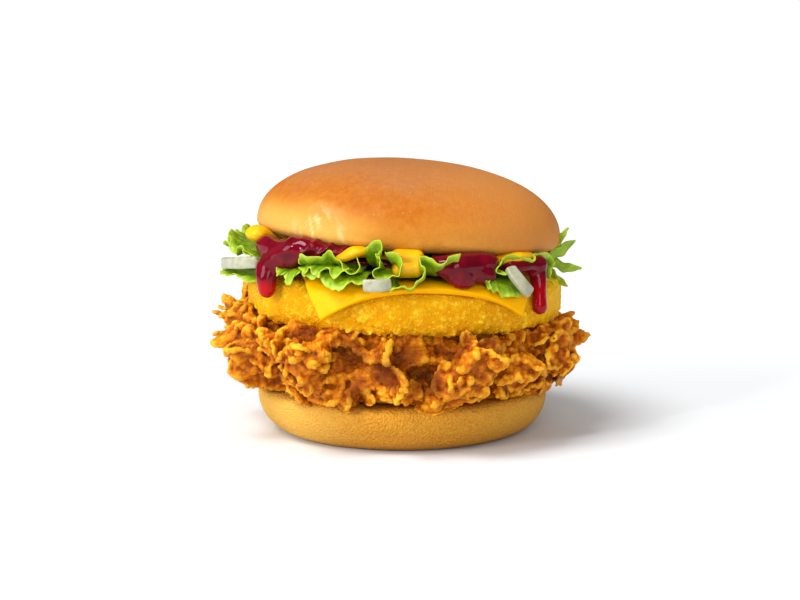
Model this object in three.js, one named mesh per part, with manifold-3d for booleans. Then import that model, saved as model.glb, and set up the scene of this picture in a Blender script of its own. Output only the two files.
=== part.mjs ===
// Chicken burger: a soft bun round a crisp fried chicken fillet, a breaded patty, a slice of cheese,
// frilled lettuce, strips of onion, a berry jam and a yellow sauce.
// Millimetres, +Z up, -Y towards the viewer. The origin is the middle of the heel's flat underside.

import * as THREE from "three";
import { mergeVertices } from "three/addons/utils/BufferGeometryUtils.js";
import Module from "manifold-3d";

const wasm = await Module();
wasm.setup();

// Driving dimensions: the bun
const HEEL_RADIUS = 53;
const HEEL_FOOT_RADIUS = 40;
const HEEL_HEIGHT = 16.5;
const HEEL_WIDEST_HEIGHT = 13.2;
const CROWN_RADIUS = 55.2;
const CROWN_FACE_RADIUS = 46;
const CROWN_WIDEST_HEIGHT = 4.2;
const CROWN_HEIGHT = 29.6;
const CROWN_ROUNDNESS = 2.2;
const CROWN_BASE = new THREE.Vector3(2, 0, 68.6);
const CROWN_ROLL = 4.2;
const CROWN_PITCH = -1.5;

// The two things between the bun's halves that give the burger its height
const FILLET_BOTTOM = 16.9;
const FILLET_TOP = 41.6;
const FILLET_CORE_RADIUS = 55.5;
const FILLET_ROLL = 1.6;
const PATTY_RADIUS = 57.4;
const PATTY_THICKNESS = 16;
const PATTY_BASE = new THREE.Vector3(0.6, 0, 42.2);
const PATTY_ROLL = 1.5;

// The cheese slice, a square sheet that bends over the patty's edge
const CHEESE_SIDE = 76.5;
const CHEESE_THICKNESS = 2.5;
const CHEESE_SHIFT = new THREE.Vector3(-2, -19, 0);
const CHEESE_TURN = 8.2;
const CHEESE_FLAT_RADIUS = 52.2;
const CHEESE_BEND_RADIUS = 8.5;
const CHEESE_HANG_ANGLE = 76;

// Every lettuce leaf lies flat from its root to a radius, and turns up or down close to its rim
const LEAF_THICKNESS = 0.8;
const LEAF_ROOT = 9;
const LEAF_FLAT_RADIUS = 44;
const LEAF_FLAT_SHARE = 0.25;
const LEAF_TURN = 6.5;
const LEAF_SPACING = 0.7;

const GAP = 0.3;
const TOLERANCE = 0.12;
const SHARPEST_SHARE = 0.45;
const MERGE = 1e-3;
const UP = new THREE.Vector3(0, 0, 1);

const radians = THREE.MathUtils.degToRad;
const lerp = THREE.MathUtils.lerp;
const smooth = THREE.MathUtils.smoothstep;
const clamp = THREE.MathUtils.clamp;

// A seeded source of random numbers from 0 to 1.
function drawFrom(seed) {
  let state = seed;
  return () => {
    state = (state + 0x6d2b79f5) | 0;
    let mixed = Math.imul(state ^ (state >>> 15), 1 | state);
    mixed = (mixed + Math.imul(mixed ^ (mixed >>> 7), 61 | mixed)) ^ mixed;
    return ((mixed ^ (mixed >>> 14)) >>> 0) / 4294967296;
  };
}

// Smooth unevenness from about -1 to 1, the same wherever the point is the same.
function unevenness(point, pitch) {
  const turn = (2 * Math.PI) / pitch;
  const first = Math.sin(point.x * turn + 1.7 * Math.sin(point.y * turn * 0.7));
  const second = Math.sin(point.y * turn * 1.1 + 1.3 * Math.sin(point.z * turn * 0.9 + 1));
  const third = Math.sin(point.z * turn * 0.8 + 1.5 * Math.sin(point.x * turn * 0.6 + 2));
  return (first + second + third) / 3;
}

// Geometry and solids
const reshaped = (geometry, move) => {
  const places = geometry.getAttribute("position");
  const point = new THREE.Vector3();
  for (let i = 0; i < places.count; i++) {
    move(point.fromBufferAttribute(places, i));
    places.setXYZ(i, point.x, point.y, point.z);
  }
  return geometry;
};

const bare = (geometry) => {
  const only = new THREE.BufferGeometry();
  only.setAttribute("position", geometry.getAttribute("position"));
  only.setIndex(geometry.getIndex());
  return mergeVertices(only, MERGE);
};

const solidOf = (geometry) => {
  const merged = bare(geometry);
  return new wasm.Manifold(
    new wasm.Mesh({
      numProp: 3,
      vertProperties: new Float32Array(merged.getAttribute("position").array),
      triVerts: new Uint32Array(merged.getIndex().array),
    }),
  );
};

const geometryOf = (solid) => {
  const mesh = solid.getMesh();
  const geometry = new THREE.BufferGeometry();
  geometry.setAttribute("position", new THREE.BufferAttribute(mesh.vertProperties, 3));
  geometry.setIndex(new THREE.BufferAttribute(mesh.triVerts, 1));
  return geometry;
};

// The same solid with every face moved out by the gap that neighbours keep. A vertex on a sharp edge
// goes further than the gap, so that the faces which meet there each move the whole way.
const grown = (solid) => {
  const geometry = geometryOf(solid);
  geometry.computeVertexNormals();
  const normals = geometry.getAttribute("normal");
  const places = geometry.getAttribute("position");
  const corners = geometry.getIndex().array;
  const flattest = new Float32Array(places.count).fill(1);
  const outward = new THREE.Vector3();
  const [a, b, c] = [new THREE.Vector3(), new THREE.Vector3(), new THREE.Vector3()];
  for (let i = 0; i < corners.length; i += 3) {
    const triple = [corners[i], corners[i + 1], corners[i + 2]];
    [a, b, c].forEach((corner, j) => corner.fromBufferAttribute(places, triple[j]));
    const facing = b.sub(a).cross(c.sub(a)).normalize();
    for (const vertex of triple) {
      const agreement = facing.dot(outward.fromBufferAttribute(normals, vertex));
      flattest[vertex] = Math.min(flattest[vertex], agreement);
    }
  }
  let i = 0;
  reshaped(geometry, (point) => {
    const reach = GAP / Math.max(flattest[i], SHARPEST_SHARE);
    point.addScaledVector(outward.fromBufferAttribute(normals, i++), reach);
  });
  return solidOf(geometry);
};

const fused = (geometries) => wasm.Manifold.union(geometries.map(solidOf));

const largest = (solid) => {
  const pieces = solid.decompose();
  return pieces.reduce((best, piece) => (piece.volume() > best.volume() ? piece : best));
};

// A turned form about +Z from a profile of radius and height pairs that starts and ends on the axis.
function turned(profile, segments) {
  const points = profile.map(([radius, height]) => new THREE.Vector2(radius, height));
  return new THREE.LatheGeometry(points, segments).rotateX(Math.PI / 2);
}

// A quarter of a superellipse, from its widest point to its top or bottom.
function quarter(startRadius, endRadius, startHeight, endHeight, roundness, steps) {
  return Array.from({ length: steps + 1 }, (_, i) => {
    const angle = (i / steps) * (Math.PI / 2);
    const along = Math.sin(angle) ** (2 / roundness);
    const across = Math.cos(angle) ** (2 / roundness);
    return [lerp(endRadius, startRadius, across), lerp(startHeight, endHeight, along)];
  });
}

// A sheet of some thickness from a rule for its middle surface. Both faces are split into triangles alike.
function sheet(surfaceAt, across, along, thickness) {
  const columns = across + 1;
  const rows = along + 1;
  const middle = [];
  for (let row = 0; row < rows; row++)
    for (let column = 0; column < columns; column++)
      middle.push(surfaceAt(column / across, row / along));
  const at = (column, row) => middle[row * columns + column];
  const faces = [[], []];
  for (let row = 0; row < rows; row++) {
    for (let column = 0; column < columns; column++) {
      const right = at(Math.min(column + 1, across), row).clone().sub(at(Math.max(column - 1, 0), row));
      const up = at(column, Math.min(row + 1, along)).clone().sub(at(column, Math.max(row - 1, 0)));
      const normal = right.cross(up).normalize();
      faces[0].push(at(column, row).clone().addScaledVector(normal, thickness / 2));
      faces[1].push(at(column, row).clone().addScaledVector(normal, -thickness / 2));
    }
  }
  const count = middle.length;
  const index = [];
  const quad = (a, b, c, d) => index.push(a, b, c, a, c, d);
  for (let row = 0; row < along; row++) {
    for (let column = 0; column < across; column++) {
      const a = row * columns + column;
      const b = a + 1;
      const c = b + columns;
      const d = a + columns;
      quad(a, b, c, d);
      index.push(count + a, count + c, count + b, count + a, count + d, count + c);
    }
  }
  for (let column = 0; column < across; column++) {
    const near = column;
    const far = along * columns + column;
    quad(near + count, near + 1 + count, near + 1, near);
    quad(far, far + 1, far + 1 + count, far + count);
  }
  for (let row = 0; row < along; row++) {
    const left = row * columns;
    const right = left + across;
    quad(left, left + columns, left + columns + count, left + count);
    quad(right + count, right + columns + count, right + columns, right);
  }
  const places = [...faces[0], ...faces[1]].flatMap((point) => point.toArray());
  const geometry = new THREE.BufferGeometry();
  geometry.setAttribute("position", new THREE.Float32BufferAttribute(places, 3));
  geometry.setIndex(index);
  return geometry;
}

const around = (angle, radius) => [radius * Math.cos(radians(angle)), radius * Math.sin(radians(angle))];

// A ball given by its angle round the burger, its distance from the axis, its height, and its half sizes
// along the rim, outwards and up.
function ball([angle, distance, height, along, out, up], extra) {
  const [x, y] = around(angle, distance);
  return new THREE.SphereGeometry(1, 8, 4)
    .rotateX(Math.PI / 2)
    .scale(out + extra, along + extra, up + extra)
    .rotateZ(radians(angle))
    .translate(x, y, height);
}

// Frames: where the crown and the patty sit, and the two planes that the fillings lie between
const crownFrame = new THREE.Group();
crownFrame.position.copy(CROWN_BASE);
crownFrame.rotation.set(radians(CROWN_PITCH), radians(CROWN_ROLL), 0);
crownFrame.updateMatrixWorld(true);

const pattyFrame = new THREE.Group();
pattyFrame.position.copy(PATTY_BASE);
pattyFrame.rotation.y = radians(PATTY_ROLL);
pattyFrame.updateMatrixWorld(true);

function planeOf(frame, offset) {
  const normal = UP.clone().transformDirection(frame.matrixWorld);
  const through = new THREE.Vector3(0, 0, offset).applyMatrix4(frame.matrixWorld);
  return (x, y) => through.z - (normal.x * (x - through.x) + normal.y * (y - through.y)) / normal.z;
}
const crownUnder = planeOf(crownFrame, -0.5);
const cheeseTop = planeOf(pattyFrame, PATTY_THICKNESS + CHEESE_THICKNESS + 0.8);
const between = (x, y, share) => lerp(cheeseTop(x, y), crownUnder(x, y), share);

// Bun
function crown() {
  const edge = quarter(CROWN_RADIUS, CROWN_FACE_RADIUS, CROWN_WIDEST_HEIGHT, 0, 2, 3).reverse();
  const dome = quarter(CROWN_RADIUS, 0, CROWN_WIDEST_HEIGHT, CROWN_HEIGHT, CROWN_ROUNDNESS, 10);
  const geometry = turned([[0, 0], ...edge, ...dome.slice(1)], 34);
  reshaped(geometry, (point) => {
    const uneven = 1 + 0.008 * unevenness(point, 70);
    point.x *= uneven;
    point.y *= uneven;
  });
  return solidOf(geometry.applyMatrix4(crownFrame.matrixWorld));
}

function heel() {
  const side = quarter(HEEL_RADIUS, HEEL_FOOT_RADIUS, HEEL_WIDEST_HEIGHT, 0, 2, 4).reverse();
  const shoulder = [
    [HEEL_RADIUS - 0.4, HEEL_WIDEST_HEIGHT + 2],
    [HEEL_RADIUS - 2.5, HEEL_HEIGHT],
  ];
  const geometry = turned([[0, 0], ...side, ...shoulder, [0, HEEL_HEIGHT]], 36);
  reshaped(geometry, (point) => {
    const uneven = 1 + 0.008 * unevenness(point, 60);
    point.x *= uneven;
    point.y *= uneven;
  });
  return solidOf(geometry);
}

// Breaded patty: a puck with a crumbed, slightly ragged edge
function patty() {
  const half = PATTY_THICKNESS / 2;
  const lower = quarter(PATTY_RADIUS, PATTY_RADIUS - 7, half, 0, 2.6, 3).reverse();
  const upper = quarter(PATTY_RADIUS, PATTY_RADIUS - 6, half, PATTY_THICKNESS, 2.6, 3);
  const geometry = turned([[0, 0], ...lower, ...upper.slice(1), [0, PATTY_THICKNESS]], 36);
  reshaped(geometry, (point) => {
    const radius = Math.hypot(point.x, point.y);
    const outward = 1 + (0.3 * unevenness(point, 16) + 0.4 * unevenness(point, 55)) / PATTY_RADIUS;
    point.x *= outward;
    point.y *= outward;
    if (radius > PATTY_RADIUS - 12 && point.z < half) point.z += 0.45 * unevenness(point, 13);
  });
  return solidOf(geometry.applyMatrix4(pattyFrame.matrixWorld));
}

// Cheese: a flat point goes over the patty's edge along an arc, and what is left hangs straight
function cheese() {
  const hang = radians(CHEESE_HANG_ANGLE);
  const arc = CHEESE_BEND_RADIUS * hang;
  const height = PATTY_THICKNESS + GAP + 0.05 + CHEESE_THICKNESS / 2;
  const middle = (across, along) => {
    const flat = new THREE.Vector3(across - 0.5, along - 0.5, 0).multiplyScalar(CHEESE_SIDE);
    flat.add(CHEESE_SHIFT).applyAxisAngle(UP, radians(CHEESE_TURN));
    const reach = Math.hypot(flat.x, flat.y);
    const over = reach - CHEESE_FLAT_RADIUS;
    if (over <= 0) return flat.setZ(height);
    const bend = Math.min(over / CHEESE_BEND_RADIUS, hang);
    const rest = Math.max(over - arc, 0);
    const radius = CHEESE_FLAT_RADIUS + CHEESE_BEND_RADIUS * Math.sin(bend) + rest * Math.cos(hang);
    const drop = CHEESE_BEND_RADIUS * (1 - Math.cos(bend)) + rest * Math.sin(hang);
    return flat.multiplyScalar(radius / reach).setZ(height - drop);
  };
  return solidOf(sheet(middle, 12, 12, CHEESE_THICKNESS).applyMatrix4(pattyFrame.matrixWorld));
}

// Fried chicken: a core with three rows of knobs, curled flakes and a tuft of crisp strands at the left
const FILLET_ROWS = [
  { height: 22.5, radius: 48.6, count: 8, start: 5 },
  { height: 30, radius: 54.5, count: 10, start: 14 },
  { height: 36.5, radius: 53.4, count: 8, start: 0 },
];
const TUFT = [
  { angle: 172, height: 40.5, length: 21, lift: 27 },
  { angle: 180, height: 39.5, length: 21, lift: 20 },
  { angle: 188, height: 37.5, length: 19, lift: 12 },
  { angle: 165, height: 39, length: 19, lift: 24 },
];
const TUFT_ROOT_RADIUS = 50;

function knob(draw, angle, radius, height, size) {
  const knobShape = new THREE.OctahedronGeometry(1, 1);
  const shift = draw() * 20;
  reshaped(knobShape, (point) => {
    const rough = unevenness(point.clone().addScalar(shift), 1.5);
    point.multiplyScalar(1 + 0.2 * rough);
  });
  const [x, y] = around(angle, radius);
  return knobShape
    .scale(size * (0.8 + 0.45 * draw()), size * (0.75 + 0.6 * draw()), size * (0.6 + 0.4 * draw()))
    .rotateX(draw() * Math.PI)
    .rotateZ(radians(angle))
    .translate(x, y, height);
}

// A curled petal of crust: it stands out from the core at an angle and its free edge waves.
function flake(draw, angle, radius, height, length) {
  const width = length * (0.7 + 0.5 * draw());
  const curl = 0.5 + 0.7 * draw();
  const wave = draw() * 6;
  const petal = sheet(
    (across, along) => {
      const out = along * length;
      const half = (across - 0.5) * width * (0.55 + 0.45 * Math.sin(Math.PI * Math.min(along + 0.25, 1)));
      const ripple = 0.12 * length * Math.sin(across * 6 + wave) * along;
      return new THREE.Vector3(out, half, curl * 0.3 * out * along + ripple);
    },
    2,
    2,
    1.8,
  );
  const [x, y] = around(angle, radius);
  return petal
    .rotateX(draw() * Math.PI * 2)
    .rotateY(radians(-35 + 70 * draw()))
    .rotateZ(radians(angle - 30 + 60 * draw()))
    .translate(x, y, height);
}

// A crisp strand: a bent, tapering rod that leans up by some degrees.
function strand(draw, { angle, height, length, lift }) {
  const rod = new THREE.SphereGeometry(1, 5, 5).scale(length / 2, 2.3 + draw(), 1.8 + 0.6 * draw());
  reshaped(rod, (point) => {
    point.z += 0.012 * point.x * point.x;
    point.y += 1.2 * Math.sin(point.x * 0.35);
  });
  const [x, y] = around(angle, TUFT_ROOT_RADIUS + length / 2);
  return rod
    .rotateY(-radians(lift))
    .rotateZ(radians(angle))
    .translate(x, y, height);
}

function friedChicken() {
  const draw = drawFrom(41);
  const roll = Math.tan(radians(FILLET_ROLL));
  const core = turned(
    [
      [0, FILLET_BOTTOM],
      [47, FILLET_BOTTOM],
      [FILLET_CORE_RADIUS - 2, 24],
      [FILLET_CORE_RADIUS, 33],
      [FILLET_CORE_RADIUS - 4, FILLET_TOP - 1.5],
      [46, FILLET_TOP],
      [0, FILLET_TOP],
    ],
    18,
  );
  const parts = [core];
  for (const row of FILLET_ROWS) {
    for (let i = 0; i < row.count; i++) {
      const angle = row.start + ((i + 0.5 * draw()) * 360) / row.count;
      const radius = row.radius + 3.2 * (draw() - 0.4);
      parts.push(knob(draw, angle, radius, row.height + 3 * (draw() - 0.5), 7.6 + 2.8 * draw()));
    }
  }
  const flakes = 5;
  for (let i = 0; i < flakes; i++) {
    const angle = (i * 360) / flakes + 7 * draw();
    const height = 24 + 14 * ((i * 0.618) % 1);
    parts.push(flake(draw, angle, FILLET_CORE_RADIUS - 3, height, 8 + 4 * draw()));
  }
  for (const one of TUFT) parts.push(strand(draw, one));
  for (const part of parts)
    reshaped(part, (point) => {
      point.z -= point.x * roll;
    });
  return fused(parts);
}

// Lettuce: the rim of a leaf runs through rows of angle round the burger, distance from the axis, height,
// and how steeply the leaf stands at its rim in degrees
const LEAVES = [
  {
    name: "lettuce_left", root: [-200, -148.5], share: 0.34, steps: 18,
    rim: [
      [-202, 57, 69, 10], [-194, 60, 72.5, 50], [-186, 60.5, 69.5, 10], [-178, 62.5, 72, 50], [-171, 62, 68, 10],
      [-166, 65, 70, 40], [-161, 62.5, 66.4, -10], [-155, 63, 70, 50], [-150.5, 59.5, 66.6, 10], [-147.5, 58, 66, 0],
    ],
  },
  {
    name: "lettuce_left_low", root: [-176, -147.5], share: 0.1, steps: 12,
    rim: [
      [-178, 62, 61, 0], [-171, 66, 59.2, -10], [-166, 67, 58.4, -15], [-161, 66, 58.2, -10], [-156, 65, 58.8, -5],
      [-151, 63.5, 58.2, -10], [-147.5, 61, 58.4, -10],
    ],
  },
  {
    name: "lettuce_front_left", root: [-146, -126.5], share: 0.12, steps: 18,
    rim: [
      [-143.5, 56, 64, -10], [-138.5, 58, 65.6, 40], [-135.4, 60.5, 63.8, -20], [-133.4, 62, 60.8, -60],
      [-132.4, 60, 63.6, -10], [-129.6, 62.5, 60.4, -60], [-126.9, 62.5, 59.9, -75], [-126.4, 60.5, 63.6, -20],
    ],
  },
  {
    name: "lettuce_front_top", root: [-125.5, -104.5], share: 0.38, steps: 18,
    rim: [
      [-125.9, 60, 66.6, 30], [-124.6, 60.6, 70, 75], [-120.5, 60.4, 69.8, 70], [-116.5, 60.6, 69.6, 60],
      [-114.1, 60, 71.3, 65], [-110.9, 60.4, 69.7, 50], [-109.3, 61.5, 66.7, 0], [-106.8, 62.5, 64.6, -10],
      [-104.2, 62.5, 65.2, 20], [-103.2, 61.5, 67.6, 50], [-104.6, 59.5, 69.8, 60],
    ],
  },
  {
    name: "lettuce_front_low", root: [-125.5, -100], share: 0.08, steps: 20,
    rim: [
      [-124.2, 60, 64.8, 0], [-121.8, 61.5, 62.8, -60], [-118.8, 62, 62.2, -70], [-117.6, 61, 63.8, -20],
      [-115.1, 62.8, 61, -60], [-112.5, 63.2, 59.4, -70], [-109.1, 63.6, 58.4, -75], [-107.4, 63.2, 60, -60],
      [-105.6, 62, 61.8, -30], [-103.2, 62.2, 61.2, -50], [-101.6, 61.8, 60.8, -50],
    ],
  },
  {
    name: "lettuce_scoop", root: [-103.5, -89.5], share: 0.38, steps: 18,
    rim: [
      [-103.3, 56, 72.2, 60], [-100.2, 57.5, 75.2, 80], [-97.4, 58.5, 75.6, 80], [-97.3, 59, 73.1, 60],
      [-98.8, 59, 71, 60], [-96.2, 60.5, 69.4, 40], [-96.9, 61, 67, 20], [-98.6, 61.5, 65.2, 0],
      [-96.9, 62.5, 64, -10], [-93.7, 63, 63.8, 0], [-91, 63, 64.6, 20], [-90.6, 61.5, 67.2, 50],
      [-91.8, 60, 69.9, 60], [-94.7, 57.5, 72.3, 70],
    ],
  },
  {
    name: "lettuce_ribbon", root: [-93, -69], share: 0.08, steps: 20,
    rim: [
      [-93.2, 64, 58.4, -60], [-92, 64, 60.6, 10], [-89.7, 63.5, 61.9, 45], [-87.4, 63.5, 61, 40],
      [-85.6, 62.8, 63.2, 50], [-83.4, 62.5, 65.2, 60], [-83.2, 61.5, 67.4, 60], [-84.1, 59, 70, 70],
      [-81, 60, 69.9, 70], [-78.8, 61.3, 68.4, 60], [-76.7, 62.3, 68.4, 50], [-75.1, 62.5, 70.2, 60],
      [-72, 63.3, 71, 60],
    ],
  },
  {
    name: "lettuce_right", root: [-60, -22], share: 0.34, steps: 16,
    rim: [
      [-54.9, 61.5, 62, -40], [-57.4, 60.5, 64.3, 10], [-55.6, 60, 67, 50], [-52.3, 58.5, 68.4, 60],
      [-48.7, 59, 68.7, 65], [-44.5, 60.5, 67.6, 50], [-41, 61, 66.5, 40], [-36.4, 59, 68, 70],
      [-31.4, 59.5, 67.8, 70], [-27.5, 60, 64.7, 40], [-29.2, 60.5, 62, 0], [-30.6, 61, 59.5, -30],
      [-27, 61, 55.6, -60],
    ],
  },
  {
    name: "lettuce_right_low", root: [-63, -44], share: 0.08, steps: 14,
    rim: [
      [-60, 60, 61.8, -10], [-62.2, 62.5, 59.2, -50], [-60.9, 63.2, 57.6, -70], [-58.6, 63, 57.9, -70],
      [-56.9, 63.4, 56, -75], [-53, 63.5, 55.2, -75], [-49.4, 63.3, 55.4, -75], [-46.6, 62.5, 57.6, -60],
    ],
  },
  {
    name: "lettuce_back_right", root: [14, 74], share: 0.25, steps: 14,
    rim: [
      [14, 58, 63, 20], [20, 61, 66, 50], [26, 59, 60, -40], [34, 61, 64.5, 40], [40, 60, 59.5, -50],
      [47, 61, 64, 50], [54, 60, 60, -40], [61, 61, 65.5, 50], [68, 59.5, 61, -30], [74, 58, 64, 10],
    ],
  },
  {
    name: "lettuce_back_left", root: [80, 156], share: 0.25, steps: 14,
    rim: [
      [80, 58, 64, 10], [87, 61, 67, 50], [95, 59.5, 61, -30], [103, 61, 66.5, 50], [111, 60, 61.5, -40],
      [119, 61.5, 67.5, 50], [127, 60, 62.5, -30], [135, 61, 68, 50], [144, 60, 63, -30], [151, 61, 68.5, 50],
      [156, 58.5, 66.5, 20],
    ],
  },
];

// A smooth run through rows of numbers.
function through(rows, share) {
  const place = share * (rows.length - 1);
  const first = Math.min(Math.floor(place), rows.length - 2);
  const t = place - first;
  const row = (i) => rows[clamp(i, 0, rows.length - 1)];
  return rows[0].map((_, k) => {
    const [a, b, c, d] = [first - 1, first, first + 1, first + 2].map((i) => row(i)[k]);
    return b + 0.5 * t * (c - a + t * (2 * a - 5 * b + 4 * c - d + t * (3 * b - a - 3 * c + d)));
  });
}

function leafPoint({ root, share, rim }, across, along) {
  const flat = (radius) => {
    const spacing = THREE.MathUtils.radToDeg((LEAF_SPACING / radius) * (1 - 2 * across));
    const [x, y] = around(lerp(...root, across) + spacing, radius);
    return new THREE.Vector3(x, y, between(x, y, share));
  };
  if (along <= LEAF_FLAT_SHARE) return flat(lerp(LEAF_ROOT, LEAF_FLAT_RADIUS, along / LEAF_FLAT_SHARE));
  const [angle, distance, height, lean] = through(rim, across);
  const t = (along - LEAF_FLAT_SHARE) / (1 - LEAF_FLAT_SHARE);
  const edge = new THREE.Vector3(...around(angle, distance), height);
  const turnDistance = distance - LEAF_TURN * Math.cos(radians(lean));
  const turn = new THREE.Vector3(...around(angle, turnDistance), height - LEAF_TURN * Math.sin(radians(lean)));
  const start = flat(LEAF_FLAT_RADIUS).multiplyScalar((1 - t) ** 2);
  return start.addScaledVector(turn, 2 * t * (1 - t)).addScaledVector(edge, t * t);
}

function leafSolid(leaf, extra) {
  const point = (across, along) => leafPoint(leaf, across, along);
  return solidOf(sheet(point, leaf.steps, 3, LEAF_THICKNESS + 2 * extra));
}

// The frizzy sprig at the right: pointed shreds that fan out from one stem
const SPRIG = [
  { tilt: 52, length: 15, twist: 0.5, width: 4.4 },
  { tilt: 26, length: 14, twist: -0.4, width: 6.2 },
  { tilt: -8, length: 15, twist: 0.6, width: 5.2 },
  { tilt: -44, length: 13, twist: -0.6, width: 5.4 },
];

const SPRIG_STEM = 2;

function sprig(extra) {
  const shreds = SPRIG.map(({ tilt, length, twist, width }) =>
    sheet(
      (across, along) => {
        const out = SPRIG_STEM + along * (length - SPRIG_STEM);
        const half = (across - 0.5) * width * (0.55 + 0.8 * along - 1.25 * along * along * along);
        const curl = 1.4 * Math.sin(along * 3 + twist * 4);
        return new THREE.Vector3(out, half + 0.5 * curl, curl + twist * half);
      },
      2,
      3,
      1.1 + 2 * extra,
    )
      .rotateX(Math.PI / 2)
      .rotateY(-radians(tilt))
      .translate(50.2, -8, 62),
  );
  return fused([...shreds, ball([-9.7, 47.7, 61.6, 5, 7, 2.2], extra)]);
}

// Onion: strips with a rounded box section, cut from a ring
const ONIONS = [
  { name: "onion_left", path: [[-64, -13.5, 61.8], [-60.6, -21, 63], [-56, -27.6, 64], [-50, -32, 64.8]] },
  { name: "onion_front", path: [[-12.9, -61.4, 60.9], [-10, -62.6, 61], [-7, -62.7, 61.1], [-3.7, -61.6, 61.3]] },
  { name: "onion_right", path: [[43.7, -47.9, 56.2], [41, -50.1, 59.4], [38.6, -49.8, 62.4], [36.6, -47.8, 65.2]] },
  { name: "onion_back", path: [[-8, 61, 61.5], [-16, 60, 62], [-24, 56, 62.6], [-30, 51, 63.4]] },
];
const ONION_SECTION = { width: 4.3, depth: 2.5, corner: 0.7 };

function onion(path, extra) {
  const { width, depth, corner } = ONION_SECTION;
  const section = new THREE.Shape();
  const halfWidth = width / 2 + extra;
  const halfDepth = depth / 2 + extra;
  section.moveTo(-halfWidth + corner, -halfDepth);
  section.lineTo(halfWidth - corner, -halfDepth);
  section.lineTo(halfWidth, -halfDepth + corner);
  section.lineTo(halfWidth, halfDepth - corner);
  section.lineTo(halfWidth - corner, halfDepth);
  section.lineTo(-halfWidth + corner, halfDepth);
  section.lineTo(-halfWidth, halfDepth - corner);
  section.lineTo(-halfWidth, -halfDepth + corner);
  const points = path.map(([x, y, z]) => new THREE.Vector3(x, y, z));
  return solidOf(
    new THREE.ExtrudeGeometry(section, {
      steps: 6,
      bevelEnabled: false,
      extrudePath: new THREE.CatmullRomCurve3(points),
    }),
  );
}

// Jam and sauce: a thin layer under the crown, and streams that run out of it. A stream is a chain of balls,
// and each two neighbours in it are wrapped in one hull.
const JAM = {
  radius: 51,
  low: 0.52,
  high: 0.72,
  streams: [
    [[-147, 55, 68.8, 5.5, 5, 5], [-136, 56, 69.6, 7, 6, 5], [-125, 54.6, 71, 7, 4.4, 3.6], [-113, 53, 71.2, 4, 3.6, 1.8]],
    [
      [-136, 56, 68.5, 8, 5, 4.5], [-142.6, 58, 65, 5, 4.2, 4.5], [-141.6, 60, 60.6, 4, 3.4, 3.6],
      [-140.8, 60.4, 56.5, 3.3, 2.9, 3.4],
    ],
    [[-77, 53, 67.4, 4, 4.4, 2.4], [-72, 56, 66, 7, 5.4, 4.6], [-59, 55.6, 66.2, 4.4, 4.8, 3.8]],
    [[-72, 56, 65.4, 6, 4.6, 4.2], [-69, 57.8, 62.2, 5.2, 4, 3.8]],
    [[-65, 56, 65, 5, 4.8, 4.2], [-60.5, 57.2, 63, 4.2, 4, 3.6]],
    [[-47, 53.6, 64.6, 5, 6, 3], [-37, 57.2, 64, 5, 4.4, 3.4]],
    [[-36, 57.6, 63, 3.6, 3.4, 3], [-37.6, 60, 57, 2.4, 2.5, 2.6], [-38, 60.6, 50, 2.8, 2.6, 2.7]],
    [[149, 54, 67, 5, 6, 3.6], [138, 54, 66.4, 5, 6, 3.4]],
    [[143.5, 56, 65.4, 4.6, 4.4, 3.6], [143, 59.4, 57.6, 3.4, 2.9, 3.2]],
  ],
};
const SAUCE = {
  radius: 50,
  low: 0.8,
  high: 0.97,
  streams: [
    [[-157, 50, 70.8, 4.6, 5, 1.5], [-154, 56.5, 74, 5.4, 4.4, 3.2]],
    [[-107, 50, 69.6, 4, 4, 1.3], [-106, 54.6, 71.4, 4.4, 4.4, 1.9], [-110.6, 57, 69, 2.8, 2.6, 1.8]],
    [
      [-91.6, 53, 69.7, 2.6, 4, 2.6], [-84.6, 53, 69.5, 2.6, 4, 2.6], [-84.9, 54.2, 65.4, 2.4, 3.4, 2.8],
      [-91.6, 54.2, 65.2, 2.4, 3.4, 2.8],
    ],
    [[-51, 52, 66.8, 4.6, 5, 1.6], [-45, 55.2, 67.4, 5.4, 4.2, 2.2], [-39.5, 54.8, 67.2, 4, 3.8, 1.9]],
    [[49, 54, 66, 5, 6, 3.6], [57, 54, 66, 5, 6, 3.6]],
  ],
};

function spread({ radius, low, high, streams }, extra) {
  const layer = turned([[0, 0], [radius + extra, 0], [radius + extra, 1], [0, 1]], 20);
  reshaped(layer, (point) => {
    point.z = between(point.x, point.y, lerp(low, high, point.z)) + lerp(-extra, extra, point.z);
  });
  const links = streams.flatMap((stream) => {
    const balls = stream.map((one) => solidOf(ball(one, extra)));
    return balls.slice(1).map((one, i) => wasm.Manifold.hull([balls[i], one]));
  });
  return wasm.Manifold.union([solidOf(layer), ...links]);
}

// Assembly: each piece is cut clear of the ones that were there first
const COLOURS = {
  bun_crown: [0xc97b3a, 0.45],
  bun_heel: [0xd9a05a, 0.8],
  fried_chicken: [0xc8701f, 0.6],
  breaded_patty: [0xe8a41c, 0.7],
  cheese_slice: [0xf9b80e, 0.4],
  lettuce: [0x6fa32b, 0.5],
  onion: [0xe4e6d4, 0.3],
  berry_jam: [0x7d0a1c, 0.12],
  yellow_sauce: [0xf2b81e, 0.3],
};

const burger = new THREE.Group();
let taken = wasm.Manifold.union([]);

function add(name, solid, clearance, colourName = name) {
  const [color, roughness] = COLOURS[colourName];
  const material = new THREE.MeshStandardMaterial({ color, roughness, metalness: 0 });
  const cut = largest(solid.subtract(taken)).simplify(TOLERANCE);
  const mesh = new THREE.Mesh(geometryOf(cut), material);
  mesh.name = name;
  burger.add(mesh);
  taken = taken.add(clearance);
}

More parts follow.
